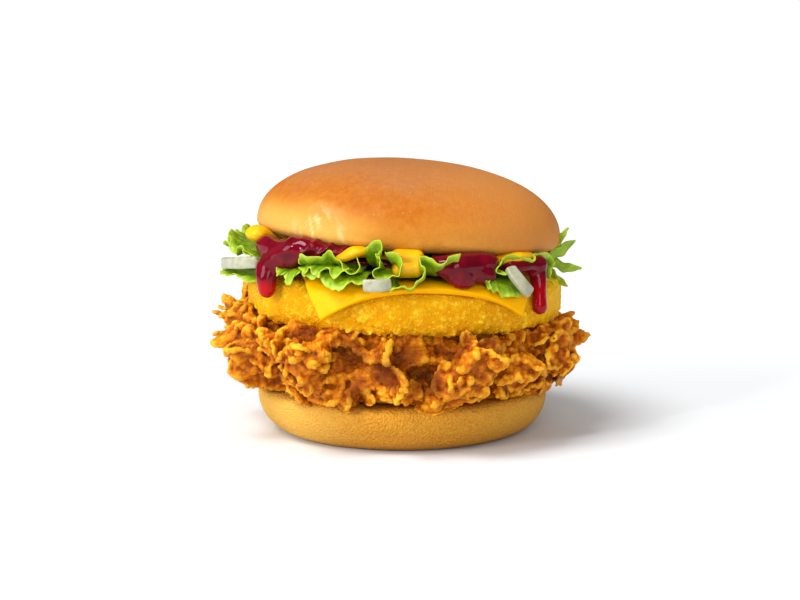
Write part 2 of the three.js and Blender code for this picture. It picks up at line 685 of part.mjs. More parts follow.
for (const [name, make] of [
  ["bun_crown", crown],
  ["bun_heel", heel],
  ["breaded_patty", patty],
  ["cheese_slice", cheese],
  ["fried_chicken", friedChicken],
]) {
  const solid = make();
  add(name, solid, grown(solid));
}
add("berry_jam", spread(JAM, 0), spread(JAM, GAP));
add("yellow_sauce", spread(SAUCE, 0), spread(SAUCE, GAP));
for (const { name, path } of ONIONS) add(name, onion(path, 0), onion(path, GAP), "onion");
add("lettuce_sprig", sprig(0), sprig(GAP), "lettuce");
for (const leaf of LEAVES) add(leaf.name, leafSolid(leaf, 0), leafSolid(leaf, GAP), "lettuce");

export default burger;
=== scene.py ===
# %% [markdown]
# A chicken burger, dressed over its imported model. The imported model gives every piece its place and
# its size, but its faces are large and flat. Here each piece gets the surface of the real food:
# baked skin, crumbs, craggy crust, frilled leaves and wet jam. Lengths are in millimetres until a
# mesh is made, because food is easier to think of in millimetres than in metres.

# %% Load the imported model
import math

import bmesh
import bpy
import numpy as np
from mathutils import Matrix, Vector


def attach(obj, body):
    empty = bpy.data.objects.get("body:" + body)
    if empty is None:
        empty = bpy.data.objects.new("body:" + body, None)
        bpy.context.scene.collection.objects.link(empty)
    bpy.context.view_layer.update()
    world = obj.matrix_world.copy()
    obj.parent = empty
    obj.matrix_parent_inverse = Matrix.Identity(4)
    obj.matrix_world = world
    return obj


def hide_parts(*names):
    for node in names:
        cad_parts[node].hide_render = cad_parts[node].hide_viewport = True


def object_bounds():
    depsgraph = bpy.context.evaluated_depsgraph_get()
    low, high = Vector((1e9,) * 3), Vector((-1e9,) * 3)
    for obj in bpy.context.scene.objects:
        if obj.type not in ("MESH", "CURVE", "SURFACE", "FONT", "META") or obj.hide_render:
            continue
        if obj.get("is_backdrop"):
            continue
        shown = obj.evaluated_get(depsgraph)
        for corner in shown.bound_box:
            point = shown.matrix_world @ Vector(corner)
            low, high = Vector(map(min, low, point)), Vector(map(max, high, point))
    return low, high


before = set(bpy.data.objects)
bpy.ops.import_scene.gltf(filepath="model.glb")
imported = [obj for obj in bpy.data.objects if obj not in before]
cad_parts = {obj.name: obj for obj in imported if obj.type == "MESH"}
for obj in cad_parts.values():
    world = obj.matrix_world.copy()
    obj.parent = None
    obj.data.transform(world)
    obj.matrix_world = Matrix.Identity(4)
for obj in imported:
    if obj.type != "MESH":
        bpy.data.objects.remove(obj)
MM = 0.001
cad_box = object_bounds()
print("nodes:", len(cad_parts), "height in mm:", round(cad_box[1].z / MM, 1))

# %% [markdown]
# The camera comes first, so that every later choice can be judged in the photograph's own view. It
# stands a little above the burger, looks along +Y, and is far enough away to flatten the rims.

# %% Camera
CAMERA_AIM = Vector((-0.7, 0, 46.5)) * MM
CAMERA_DISTANCE = 700 * MM
CAMERA_ELEVATION = math.radians(8.8)
FOCAL_PIXELS = 1911
PHOTO_WIDTH_PIXELS = 800
SENSOR_WIDTH = 36

camera = bpy.data.objects.new("camera", bpy.data.cameras.new("camera"))
bpy.context.collection.objects.link(camera)
bpy.context.scene.camera = camera
away = Vector((0, -math.cos(CAMERA_ELEVATION), math.sin(CAMERA_ELEVATION)))
camera.location = CAMERA_AIM + away * CAMERA_DISTANCE
camera.rotation_euler = (-away).to_track_quat("-Z", "Y").to_euler()
camera.data.sensor_width = SENSOR_WIDTH
camera.data.lens = FOCAL_PIXELS / PHOTO_WIDTH_PIXELS * SENSOR_WIDTH
print("lens in mm:", round(camera.data.lens, 1))

# %% [markdown]
# Food photographs use one large soft lamp from the side and a bright surround. A sun lamp with a wide
# angle gives the same even light over the whole floor, and its soft shadow falls to the right. Two
# weaker suns lift the front and the left side, and a small sharp one puts glints on what is wet. The
# surround is bright where the camera sees it and dim in reflections, so that no surface looks veiled.

# %% Floor, lamps and surround
FLOOR_HALF = 6.0
KEY_FROM = Vector((-0.42, -0.28, 0.9))
KEY_STRENGTH = 2.6
KEY_ANGLE = math.radians(28)
FRONT_FROM = Vector((0.05, -0.95, 0.35))
FRONT_STRENGTH = 0.88
FRONT_ANGLE = math.radians(30)
SIDE_FROM = Vector((-0.9, -0.42, 0.34))
SIDE_STRENGTH = 1.25
SIDE_ANGLE = math.radians(30)
SPARK_FROM = Vector((-0.75, -0.75, 0.5))
SPARK_STRENGTH = 0.6
SPARK_ANGLE = math.radians(5)
SURROUND_STRENGTH = 0.5
MIRRORED_STRENGTH = 0.12
SEEN_STRENGTH = 1.1

floor_mesh = bpy.data.meshes.new("floor")
corners = [(-FLOOR_HALF, -FLOOR_HALF, 0), (FLOOR_HALF, -FLOOR_HALF, 0),
           (FLOOR_HALF, FLOOR_HALF, 0), (-FLOOR_HALF, FLOOR_HALF, 0)]
floor_mesh.from_pydata(corners, [], [(0, 1, 2, 3)])
floor = bpy.data.objects.new("floor", floor_mesh)
bpy.context.collection.objects.link(floor)
floor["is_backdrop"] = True


def sun(name, from_direction, strength, angle):
    """A far lamp that shines from a direction."""
    lamp = bpy.data.lights.new(name, "SUN")
    lamp.energy = strength
    lamp.angle = angle
    holder = bpy.data.objects.new(name, lamp)
    holder.rotation_euler = from_direction.to_track_quat("Z", "Y").to_euler()
    bpy.context.collection.objects.link(holder)


sun("key_lamp", KEY_FROM, KEY_STRENGTH, KEY_ANGLE)
sun("front_lamp", FRONT_FROM, FRONT_STRENGTH, FRONT_ANGLE)
sun("side_lamp", SIDE_FROM, SIDE_STRENGTH, SIDE_ANGLE)
sun("spark_lamp", SPARK_FROM, SPARK_STRENGTH, SPARK_ANGLE)
world = bpy.data.worlds.new("surround")
world.use_nodes = True
surround = world.node_tree.nodes["Background"]
surround.inputs["Color"].default_value = (1, 1, 1, 1)
rays = world.node_tree.nodes.new("ShaderNodeLightPath").outputs


def by_ray(kind, otherwise, value):
    """A strength for one kind of ray, and another strength or output for all other kinds."""
    switch = world.node_tree.nodes.new("ShaderNodeMix")
    world.node_tree.links.new(rays[kind], switch.inputs["Factor"])
    if isinstance(otherwise, float):
        switch.inputs["A"].default_value = otherwise
    else:
        world.node_tree.links.new(otherwise, switch.inputs["A"])
    switch.inputs["B"].default_value = value
    return switch.outputs["Result"]


mirrored = by_ray("Is Glossy Ray", SURROUND_STRENGTH, MIRRORED_STRENGTH)
seen = by_ray("Is Camera Ray", mirrored, SEEN_STRENGTH)
world.node_tree.links.new(seen, surround.inputs["Strength"])
bpy.context.scene.world = world
bpy.context.scene.view_settings.view_transform = "Standard"

# %% [markdown]
# Small helpers carry all the mesh work. They make an object from points, read and write its points as
# an array, bake its modifiers into its mesh, and fuse or smooth it. Arrays let one line of arithmetic
# move a hundred thousand points.


# %% Mesh helpers
def mesh_object(name, points, faces):
    """A smooth-shaded mesh object from points in millimetres."""
    mesh = bpy.data.meshes.new(name)
    mesh.from_pydata((np.asarray(points) * MM).tolist(), [], faces)
    mesh.validate()
    piece = bpy.data.objects.new(name, mesh)
    bpy.context.collection.objects.link(piece)
    outward(piece)
    return piece


def outward(piece):
    """Turns every face outwards and shades the piece smooth."""
    sculpt = bmesh.new()
    sculpt.from_mesh(piece.data)
    bmesh.ops.recalc_face_normals(sculpt, faces=sculpt.faces)
    sculpt.to_mesh(piece.data)
    sculpt.free()
    piece.data.polygons.foreach_set("use_smooth", [True] * len(piece.data.polygons))


def points_of(piece):
    """The piece's points as rows of x, y and z in millimetres."""
    flat = np.empty(len(piece.data.vertices) * 3, dtype=np.float32)
    piece.data.vertices.foreach_get("co", flat)
    return flat.reshape(-1, 3).astype(float) / MM


def normals_of(piece):
    """The outward direction at each point."""
    flat = np.empty(len(piece.data.vertices) * 3, dtype=np.float32)
    piece.data.vertices.foreach_get("normal", flat)
    return flat.reshape(-1, 3).astype(float)


def move_points(piece, points):
    """Puts the piece's points at new places in millimetres."""
    piece.data.vertices.foreach_set("co", (points * MM).astype(np.float32).ravel())
    piece.data.update()


def bake(piece):
    """Applies the piece's modifiers to its mesh."""
    evaluated = piece.evaluated_get(bpy.context.evaluated_depsgraph_get())
    baked = bpy.data.meshes.new_from_object(evaluated)
    piece.modifiers.clear()
    piece.data = baked
    baked.polygons.foreach_set("use_smooth", [True] * len(baked.polygons))
    baked.update()


def remesh(piece, voxel):
    """Fuses what crosses and gives the piece an even mesh with faces of a size in millimetres."""
    step = piece.modifiers.new("remesh", "REMESH")
    step.mode = "VOXEL"
    step.voxel_size = voxel * MM
    bake(piece)


def relax(piece, factor, repeats):
    """Smooths the piece, as surface tension does."""
    step = piece.modifiers.new("relax", "SMOOTH")
    step.factor = factor
    step.iterations = repeats
    bake(piece)


def store(piece, name, values):
    """Keeps one number for each point, for the piece's material to read."""
    layer = piece.data.attributes.new(name, "FLOAT", "POINT")
    layer.data.foreach_set("value", np.asarray(values, dtype=np.float32))


def copy_of_node(node, name):
    """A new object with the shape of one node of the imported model."""
    piece = bpy.data.objects.new(name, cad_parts[node].data.copy())
    piece.data.materials.clear()
    bpy.context.collection.objects.link(piece)
    return piece


print("helpers ready")

# %% [markdown]
# Food is uneven at every size, so one seeded noise serves all pieces. It gives random heights to the
# corners of a grid and blends between them. Adding finer and weaker layers gives a natural surface.


# %% Unevenness
def noise(points, pitch, seed=0):
    """Smooth unevenness from -1 to 1, with a bump or hollow about every pitch in millimetres."""
    scaled = points / pitch + 31.7 * (seed + 1)
    cell = np.floor(scaled)
    part = scaled - cell
    blend = part * part * (3 - 2 * part)
    cell = cell.astype(np.int64)
    total = np.zeros(len(points))
    for corner in range(8):
        step = np.array([corner & 1, (corner >> 1) & 1, corner >> 2])
        x, y, z = (cell + step).T
        mixed = (x * 73856093) ^ (y * 19349663) ^ (z * 83492791)
        mixed = ((mixed ^ (mixed >> 13)) * 1274126177) & 0x7FFFFFFF
        value = ((mixed ^ (mixed >> 15)) & 0xFFFF) / 32767.5 - 1
        total += value * np.prod(np.where(step, blend, 1 - blend), axis=1)
    return total


def billow(points, pitch, seed=0):
    """Round knobs with sharp creases between them, from 0 in a crease to 1."""
    return np.abs(noise(points, pitch, seed)) ** 0.7 * 1.4


def smoothstep(value, low, high):
    """Rises from 0 at low to 1 at high, with a soft start and end."""
    share = np.clip((value - low) / (high - low), 0, 1)
    return share * share * (3 - 2 * share)


def mix(low, high, share):
    return low + (high - low) * share


print("noise sample:", round(float(noise(np.array([[1.0, 2.0, 3.0]]), 5)[0]), 3))

# %% [markdown]
# Two makers cover most of the shapes. Buns and patties are turned, so a profile is swept round the
# upright axis. Cheese and leaves are sheets, so a grid of points gets a thickness along its normals.


# %% Turned forms and sheets
def turned(name, profile, segments):
    """A closed form about the upright axis. The profile starts and ends on the axis."""
    inner = profile[1:-1]
    turn = np.linspace(0, 2 * math.pi, segments, endpoint=False)
    ring_x = np.outer(inner[:, 0], np.cos(turn))
    ring_y = np.outer(inner[:, 0], np.sin(turn))
    ring_z = np.repeat(inner[:, 1:2], segments, axis=1)
    rings = np.stack([ring_x, ring_y, ring_z], axis=2).reshape(-1, 3)
    poles = np.array([[0, 0, profile[0, 1]], [0, 0, profile[-1, 1]]])
    low_pole = len(rings)
    faces = []
    for i in range(segments):
        j = (i + 1) % segments
        faces.append((low_pole, j, i))
        last = (len(inner) - 1) * segments
        faces.append((low_pole + 1, last + i, last + j))
        for row in range(0, last, segments):
            faces.append((row + i, row + j, row + segments + j, row + segments + i))
    return mesh_object(name, np.vstack([rings, poles]), faces)


def quarter(start_radius, end_radius, start_height, end_height, roundness, steps):
    """A quarter of a superellipse from its widest point to its top or bottom."""
    angle = np.linspace(0, math.pi / 2, steps + 1)
    along = np.sin(angle) ** (2 / roundness)
    across = np.cos(angle).clip(0) ** (2 / roundness)
    return np.stack([mix(end_radius, start_radius, across), mix(start_height, end_height, along)], axis=1)


def spaced(profile, step):
    """The same profile with points an even step apart."""
    lengths = np.concatenate([[0], np.cumsum(np.linalg.norm(np.diff(profile, axis=0), axis=1))])
    places = np.linspace(0, lengths[-1], max(int(lengths[-1] / step), 2))
    return np.stack([np.interp(places, lengths, profile[:, k]) for k in range(2)], axis=1)


def sheet_mesh(middle, thickness):
    """Points and faces of a sheet of some thickness on both sides of a grid of points."""
    rows, columns = middle.shape[:2]
    normal = np.cross(np.gradient(middle, axis=1), np.gradient(middle, axis=0))
    normal /= np.linalg.norm(normal, axis=2, keepdims=True) + 1e-9
    half = np.asarray(thickness) / 2 * np.ones((rows, columns))
    upper = middle + normal * half[..., None]
    lower = middle - normal * half[..., None]
    points = np.vstack([upper.reshape(-1, 3), lower.reshape(-1, 3)])
    count = rows * columns
    grid = np.arange(count).reshape(rows, columns)
    a, b, c, d = grid[:-1, :-1], grid[:-1, 1:], grid[1:, 1:], grid[1:, :-1]
    quads = np.stack([a, b, c, d], axis=2).reshape(-1, 4)
    rim = np.concatenate([grid[0, :], grid[1:, -1], grid[-1, -2::-1], grid[-2:0:-1, 0]])
    following = np.roll(rim, -1)
    walls = np.stack([rim, rim + count, following + count, following], axis=1)
    faces = np.vstack([quads, quads[:, ::-1] + count, walls])
    return points, faces


print("makers ready")

# %% [markdown]
# Materials are node trees. One helper adds a node, sets its fields and links or fills its inputs, and
# the others name the steps that all foods share, so that a material reads as a short list of steps.


# %% Node helpers
def add_node(tree, kind, inputs=None, **fields):
    """Adds a node. An input is a value, or another node's output to link."""
    made = tree.nodes.new(kind)
    for key, value in fields.items():
        setattr(made, key, value)
    for key, value in (inputs or {}).items():
        if isinstance(value, bpy.types.NodeSocket):
            tree.links.new(value, made.inputs[key])
        else:
            made.inputs[key].default_value = value
    return made


def ramp(tree, value, stops, smooth=True):
    """A colour or grey that follows a value through stops of place and colour."""
    made = add_node(tree, "ShaderNodeValToRGB", {"Fac": value})
    made.color_ramp.interpolation = "EASE" if smooth else "LINEAR"
    points = made.color_ramp.elements
    while len(points) < len(stops):
        points.new(1.0)
    for point, (place, colour) in zip(points, stops):
        point.position = place
        point.color = (*colour, 1) if isinstance(colour, tuple) else (colour, colour, colour, 1)
    return made.outputs["Color"]


def blend(tree, share, first, second, kind="MIX"):
    """Mixes two colours, or lays the second over the first."""
    made = add_node(tree, "ShaderNodeMix", data_type="RGBA", blend_type=kind)
    for place, value in ((0, share), (6, first), (7, second)):
        if isinstance(value, bpy.types.NodeSocket):
            tree.links.new(value, made.inputs[place])
        else:
            made.inputs[place].default_value = value if place == 0 else (*value, 1)
    return made.outputs[2]


def sum_of(tree, first, second, operation="ADD"):
    """Adds two values, or combines them by another operation."""
    made = add_node(tree, "ShaderNodeMath", {0: first, 1: second}, operation=operation)
    return made.outputs["Value"]


def tint(tree, mask, share, colour, tone):
    """Lays a tone over a colour where a mask is, up to a share."""
    return blend(tree, sum_of(tree, mask, share, "MULTIPLY"), colour, tone)


def kept(tree, name):
    """The number that was stored for each point under a name."""
    return add_node(tree, "ShaderNodeAttribute", attribute_name=name).outputs["Fac"]


def new_material(name, values):
    """A material with one Principled shader, whose plain values are set by name."""
    material = bpy.data.materials.new(name)
    material.use_nodes = True
    tree = material.node_tree
    shader = tree.nodes["Principled BSDF"]
    for key, value in values.items():
        shader.inputs[key].default_value = value
    return material, tree, shader


def bump(tree, shader, height, depth):
    """Turns a height from 0 to 1 into relief of a depth in millimetres."""
    made = add_node(tree, "ShaderNodeBump", {"Height": height, "Distance": depth * MM, "Strength": 1.0})
    tree.links.new(made.outputs["Normal"], shader.inputs["Normal"])


print("node helpers ready")

# %% [markdown]
# Three effects turn up in several foods, so each is built once as a node group with named inputs.
# Mottle is soft broad unevenness, grain is fine relief, and specks are small dark dots such as pepper.


# %% Shared node groups
def new_group(name, inputs, output):
    """An empty node group with number inputs in order and one number output."""
    group = bpy.data.node_groups.new(name, "ShaderNodeTree")
    for key, value in inputs.items():
        socket = group.interface.new_socket(key, in_out="INPUT", socket_type="NodeSocketFloat")
        socket.default_value = value
    group.interface.new_socket(output, in_out="OUTPUT", socket_type="NodeSocketFloat")
    start = group.nodes.new("NodeGroupInput").outputs
    end = group.nodes.new("NodeGroupOutput")
    where = add_node(group, "ShaderNodeTexCoord").outputs["Object"]
    return group, start, end, where


def per_metre(tree, pitch):
    """A texture scale from a pitch in millimetres."""
    return sum_of(tree, 1 / MM, pitch, "DIVIDE")


mottle, start, end, where = new_group("Mottle", {"Pitch": 10, "Low": 0.35, "High": 0.65}, "Mask")
cloud = add_node(mottle, "ShaderNodeTexNoise", {
    "Vector": where, "Scale": per_metre(mottle, start["Pitch"]), "Detail": 5, "Roughness": 0.6,
})
spread = add_node(mottle, "ShaderNodeMapRange", {
    "Value": cloud.outputs["Fac"], "From Min": start["Low"], "From Max": start["High"],
}, interpolation_type="SMOOTHSTEP")
mottle.links.new(spread.outputs["Result"], end.inputs["Mask"])

grain, start, end, where = new_group("Grain", {"Pitch": 1, "Pits": 0.5}, "Height")
fine = add_node(grain, "ShaderNodeTexNoise", {
    "Vector": where, "Scale": per_metre(grain, start["Pitch"]), "Detail": 6, "Roughness": 0.65,
})
cells = add_node(grain, "ShaderNodeTexVoronoi", {
    "Vector": where, "Scale": per_metre(grain, start["Pitch"]), "Smoothness": 0.6,
}, feature="SMOOTH_F1")
dips = sum_of(grain, cells.outputs["Distance"], start["Pits"], "MULTIPLY")
grain.links.new(sum_of(grain, fine.outputs["Fac"], dips), end.inputs["Height"])

specks, start, end, where = new_group("Specks", {"Spacing": 4, "Size": 0.1, "Share": 0.3}, "Mask")
dots = add_node(specks, "ShaderNodeTexVoronoi", {
    "Vector": where, "Scale": per_metre(specks, start["Spacing"]),
})
inside = sum_of(specks, dots.outputs["Distance"], start["Size"], "LESS_THAN")
pick = add_node(specks, "ShaderNodeSeparateColor", {"Color": dots.outputs["Color"]})
some = sum_of(specks, pick.outputs["Red"], start["Share"], "LESS_THAN")
specks.links.new(sum_of(specks, inside, some, "MULTIPLY"), end.inputs["Mask"])


def use(tree, group, **values):
    """Places a group in a material with its own values and gives its output."""
    placed = add_node(tree, "ShaderNodeGroup", node_tree=group)
    for key, value in values.items():
        placed.inputs[key].default_value = value
    return placed.outputs[0]


print("groups:", [g.name for g in bpy.data.node_groups])


# %% [markdown]
# Each dressed piece gets its material, rides on the burger's one body and stands for its node, which
# is hidden.


# %% Put a piece in place
def serve(piece, slot, material, *nodes):
    piece.data.materials.clear()
    piece.data.materials.append(material)
    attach(piece, "root")
    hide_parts(*nodes)
    print(piece.name, "faces:", len(piece.data.polygons))


# %% [markdown]
# The crown is a soft baked dome. Its skin is brown where the oven's heat was strongest, on top, and
# pale at the rim. At the lower left the rim is painted paler still, which is painted light. At the
# front left the skin is stretched and wrinkled, with a wet shine, partly painted as pale sheen lines.
# The profile is the imported model's own, turned finely, and the wrinkles are real relief, because
# they catch light.

# %% Crown shape
CROWN_RADIUS = 55.2
CROWN_FACE_RADIUS = 46
CROWN_WIDEST_HEIGHT = 4.2
CROWN_HEIGHT = 29.6
CROWN_ROUNDNESS = 2.2
CROWN_BASE = Vector((2, 0, 68.6))
CROWN_ROLL = math.radians(4.2)
CROWN_PITCH = math.radians(-1.5)
WRINKLES_AT = np.array([-31, -48, 74])
WRINKLES_REACH = 17
CROWN_SEGMENTS = 440
CROWN_MESH_STEP = 0.8

edge = quarter(CROWN_RADIUS, CROWN_FACE_RADIUS, CROWN_WIDEST_HEIGHT, 0, 2, 24)[::-1]
dome = quarter(CROWN_RADIUS, 0, CROWN_WIDEST_HEIGHT, CROWN_HEIGHT, CROWN_ROUNDNESS, 90)
crown_profile = spaced(np.vstack([[[0, 0]], edge, dome[1:]]), CROWN_MESH_STEP)
crown = turned("crown_skin", crown_profile, CROWN_SEGMENTS)
crown_frame = (Matrix.Translation(CROWN_BASE) @ Matrix.Rotation(CROWN_PITCH, 4, "X")
               @ Matrix.Rotation(CROWN_ROLL, 4, "Y"))


def placed(points, matrix):
    """Points moved by a matrix in millimetres."""
    table = np.array(matrix)
    return points @ table[:3, :3].T + table[:3, 3]


flat_points = points_of(crown)
points = placed(flat_points, crown_frame)
move_points(crown, points)
above_widest = flat_points[:, 2] - CROWN_WIDEST_HEIGHT
height_share = np.clip(above_widest / (CROWN_HEIGHT - CROWN_WIDEST_HEIGHT), -1, 1)
lumps = 0.5 * noise(points, 34, 1) + 0.12 * noise(points, 9, 2)
wrinkled = smoothstep(WRINKLES_REACH - np.linalg.norm(points - WRINKLES_AT, axis=1), 0, 12)
streaks = np.stack([points[:, 0] + 0.35 * points[:, 2], points[:, 1] * 0.2, points[:, 2] * 0.22], axis=1)
folds = 1 - np.abs(noise(streaks, 4.2, 7)) * 2
fine_folds = 1 - np.abs(noise(streaks, 2.2, 9)) * 3
relief = lumps + wrinkled * (0.55 * folds + 0.3 * fine_folds) - 0.15
move_points(crown, points + normals_of(crown) * relief[:, None])
print("crown points:", len(points))

# %% [markdown]
# The oven's marks and some painted light are measured here, one number a point, because a node
# can't tell where the front left of a bun is. The pale lower left rim is partly painted light, and the
# right side is painted lighter. The wrinkles carry fine pale lines, broken here and there: a painted
# sheen where the stretched skin catches the light.

# %% Crown marks
low = 1 - smoothstep(height_share + 0.1 * noise(points, 15, 6), 0.05, 0.5)
leftward = 1 - smoothstep(points[:, 0] + 6 * noise(points, 12, 8), -26, -2)
store(crown, "bake", height_share)
store(crown, "wrinkled", wrinkled)
# Painted light: the lower left rim, toward the lamps, is painted pale, over the rim's own paleness.
store(crown, "pale_rim_and_painted_light", low * leftward * smoothstep(-points[:, 1], -10, 25))
# Painted sheen: pale broken lines along the wrinkles, where stretched skin would catch the light.
broad_lines = smoothstep(1 - 4 * np.abs(noise(streaks, 3.6, 14)), 0.25, 0.9)
fine_lines = smoothstep(1 - 4 * np.abs(noise(streaks, 1.7, 15)), 0.3, 0.95)
broken = smoothstep(noise(points, 6, 12), -0.45, 0.15)
sheen_lines = np.maximum(broad_lines, 0.7 * fine_lines) * broken
store(crown, "painted_sheen", wrinkled * sheen_lines)
# Painted light: the right side, away from the key lamp, is painted lighter.
store(crown, "crown_painted_light_right", smoothstep(points[:, 0], -5, 42))
print("wrinkled share:", round(float(wrinkled.mean()), 3))

# %% [markdown]
# Egg-washed skin is a brown layer under a thin clear one. The colour runs from cream at the rim to
# brown at the top, with mottling and pale flecks, and a coat gives the soft shine. The top is a little
# greyer, a painted sheen; the right side and the lower left rim get painted light, and the wrinkles
# get painted sheen lines.

# %% Crown material
crown_skin, tree, shader = new_material("crown_skin", {
    "Coat Weight": 0.02, "Coat Roughness": 0.2, "Specular IOR Level": 0.06,
    "Subsurface Weight": 0.05, "Subsurface Scale": 0.003,
})
baked = sum_of(tree, kept(tree, "bake"), sum_of(tree, use(tree, mottle, Pitch=22), 0.2, "MULTIPLY"))
# The top stop is greyer than the middle one: a painted sheen on the top, over the baked brown.
skin = ramp(tree, baked, [
    (0.0, (0.62, 0.28, 0.034)), (0.2, (0.48, 0.172, 0.012)),
    (0.5, (0.41, 0.108, 0.004)), (1.0, (0.41, 0.148, 0.044)),
])
# Painted light on the right side.
skin = tint(tree, kept(tree, "crown_painted_light_right"), 0.75, skin, (0.60, 0.225, 0.046))
# Pale rim, with painted light at the lower left.
skin = blend(tree, kept(tree, "pale_rim_and_painted_light"), skin, (0.66, 0.355, 0.068))
# Painted sheen lines on the wrinkles.
skin = tint(tree, kept(tree, "painted_sheen"), 0.6, skin, (1.0, 0.80, 0.42))
skin = tint(tree, use(tree, mottle, Pitch=2.5), 0.18, skin, (0.64, 0.26, 0.045))
flecks = use(tree, specks, Spacing=2.6, Size=0.12, Share=0.35)
skin = tint(tree, flecks, 0.25, skin, (0.80, 0.45, 0.16))
tree.links.new(skin, shader.inputs["Base Color"])
tree.links.new(ramp(tree, kept(tree, "wrinkled"), [(0, 0.5), (1, 0.22)]), shader.inputs["Roughness"])
bump(tree, shader, use(tree, grain, Pitch=0.8, Pits=0.5), 0.16)
serve(crown, "bun_crown", crown_skin, "bun_crown")

# %% [markdown]
# The heel is the bun's flat lower half. It has no egg wash, so it is matt, tan and full of fine pores.
# It is turned too, with a little unevenness. Its pores are finer than the mesh, so they are bump and
# dark specks. Its left side, toward the lamps, is painted paler as painted light, and its right side a
# little paler too.

# %% Heel
HEEL_RADIUS = 53
HEEL_FOOT_RADIUS = 40
HEEL_HEIGHT = 16.5
HEEL_WIDEST_HEIGHT = 13.2
HEEL_SEGMENTS = 320
HEEL_MESH_STEP = 1.0

side = quarter(HEEL_RADIUS, HEEL_FOOT_RADIUS, HEEL_WIDEST_HEIGHT, 0, 2, 30)[::-1]
shoulder = quarter(HEEL_RADIUS, HEEL_RADIUS - 4, HEEL_WIDEST_HEIGHT, HEEL_HEIGHT, 2.2, 12)[1:]
heel_profile = spaced(np.vstack([[[0, 0]], side, shoulder, [[0, HEEL_HEIGHT]]]), HEEL_MESH_STEP)
heel = turned("heel_crust", heel_profile, HEEL_SEGMENTS)
points = points_of(heel)
above_floor = smoothstep(points[:, 2], 0.1, 3)
lumps = (0.45 * noise(points, 26, 3) + 0.16 * noise(points, 7, 4)) * above_floor
points = points + normals_of(heel) * (lumps - 0.1 * above_floor)[:, None]
move_points(heel, points)
store(heel, "height", points[:, 2] / HEEL_HEIGHT)
# Painted light: paler on the left, toward the lamps, and a little on the right.
pale_left = 0.75 * smoothstep(-points[:, 0], 8, 42)
pale_right = 0.25 * smoothstep(points[:, 0], 15, 45)
store(heel, "painted_light", pale_left + pale_right)

heel_crust, tree, shader = new_material("heel_crust", {
    "Roughness": 0.75, "Specular IOR Level": 0.2, "Subsurface Weight": 0.06, "Subsurface Scale": 0.003,
})
crust = ramp(tree, kept(tree, "height"), [
    (0.0, (0.44, 0.16, 0.010)), (0.3, (0.52, 0.205, 0.008)), (1.0, (0.61, 0.26, 0.014)),
])
crust = tint(tree, use(tree, mottle, Pitch=12), 0.3, crust, (0.50, 0.19, 0.012))
# Painted light where the mask above is.
crust = blend(tree, kept(tree, "painted_light"), crust, (0.80, 0.47, 0.080))
crust = tint(tree, use(tree, mottle, Pitch=0.9), 0.35, crust, (0.80, 0.40, 0.050))
pores = use(tree, specks, Spacing=0.85, Size=0.22, Share=0.7)
crust = tint(tree, pores, 0.6, crust, (0.36, 0.12, 0.008))
tree.links.new(crust, shader.inputs["Base Color"])
bump(tree, shader, use(tree, grain, Pitch=0.8, Pits=1.2), 0.5)
serve(heel, "bun_heel", heel_crust, "bun_heel")

# %% [markdown]
# The yellow patty is pressed and crumbed: a puck under a coat of fine crumbs. The crumbs that stick
# out show on its edge, so the larger ones are real relief and the finest are bump. Its left and right
# ends are painted paler, which is painted light.

# %% Breaded patty
PATTY_RADIUS = 57.4
PATTY_THICKNESS = 16
PATTY_BASE = Vector((0.6, 0, 42.2))
PATTY_ROLL = math.radians(1.5)
PATTY_SEGMENTS = 540
PATTY_MESH_STEP = 0.7

half = PATTY_THICKNESS / 2
lower = quarter(PATTY_RADIUS, PATTY_RADIUS - 7, half, 0, 2.6, 24)[::-1]
upper = quarter(PATTY_RADIUS, PATTY_RADIUS - 6, half, PATTY_THICKNESS, 2.6, 24)[1:]
patty_frame = Matrix.Translation(PATTY_BASE) @ Matrix.Rotation(PATTY_ROLL, 4, "Y")
patty_profile = spaced(np.vstack([[[0, 0]], lower, upper, [[0, PATTY_THICKNESS]]]), PATTY_MESH_STEP)
patty = turned("patty_crumb", patty_profile, PATTY_SEGMENTS)
flat_points = points_of(patty)
rim = smoothstep(np.hypot(flat_points[:, 0], flat_points[:, 1]), 42, 50)
wavy = 0.45 * noise(flat_points, 13, 5)
crumbs = np.maximum(noise(flat_points, 1.7, 6), 0) ** 1.2 + 0.8 * np.maximum(noise(flat_points, 0.95, 7), 0)
clumps = np.maximum(noise(flat_points, 5, 8), 0)
lower_rim = 1 - smoothstep(flat_points[:, 2], 1, 5)
relief = rim * (wavy + crumbs * (0.5 + 0.8 * clumps + 0.7 * lower_rim) - 0.35)
points = placed(flat_points + normals_of(patty) * relief[:, None], patty_frame)
move_points(patty, points)
store(patty, "crumb", crumbs)
# Painted light: the patty's left and right ends are painted paler.
store(patty, "painted_light", smoothstep(np.abs(flat_points[:, 0]), 38, 55))
store(patty, "height", flat_points[:, 2] / PATTY_THICKNESS)

patty_crumb, tree, shader = new_material("patty_crumb", {
    "Roughness": 0.5, "Specular IOR Level": 0.05, "Subsurface Weight": 0.06, "Subsurface Scale": 0.002,
})
golden = ramp(tree, kept(tree, "height"), [
    (0.0, (0.76, 0.31, 0.001)), (0.3, (0.76, 0.33, 0.001)), (1.0, (0.86, 0.42, 0.002)),
])
golden = tint(tree, use(tree, mottle, Pitch=7), 0.5, golden, (0.66, 0.24, 0.001))
light_crumb = sum_of(tree, kept(tree, "crumb"), use(tree, mottle, Pitch=1.2), "MULTIPLY")
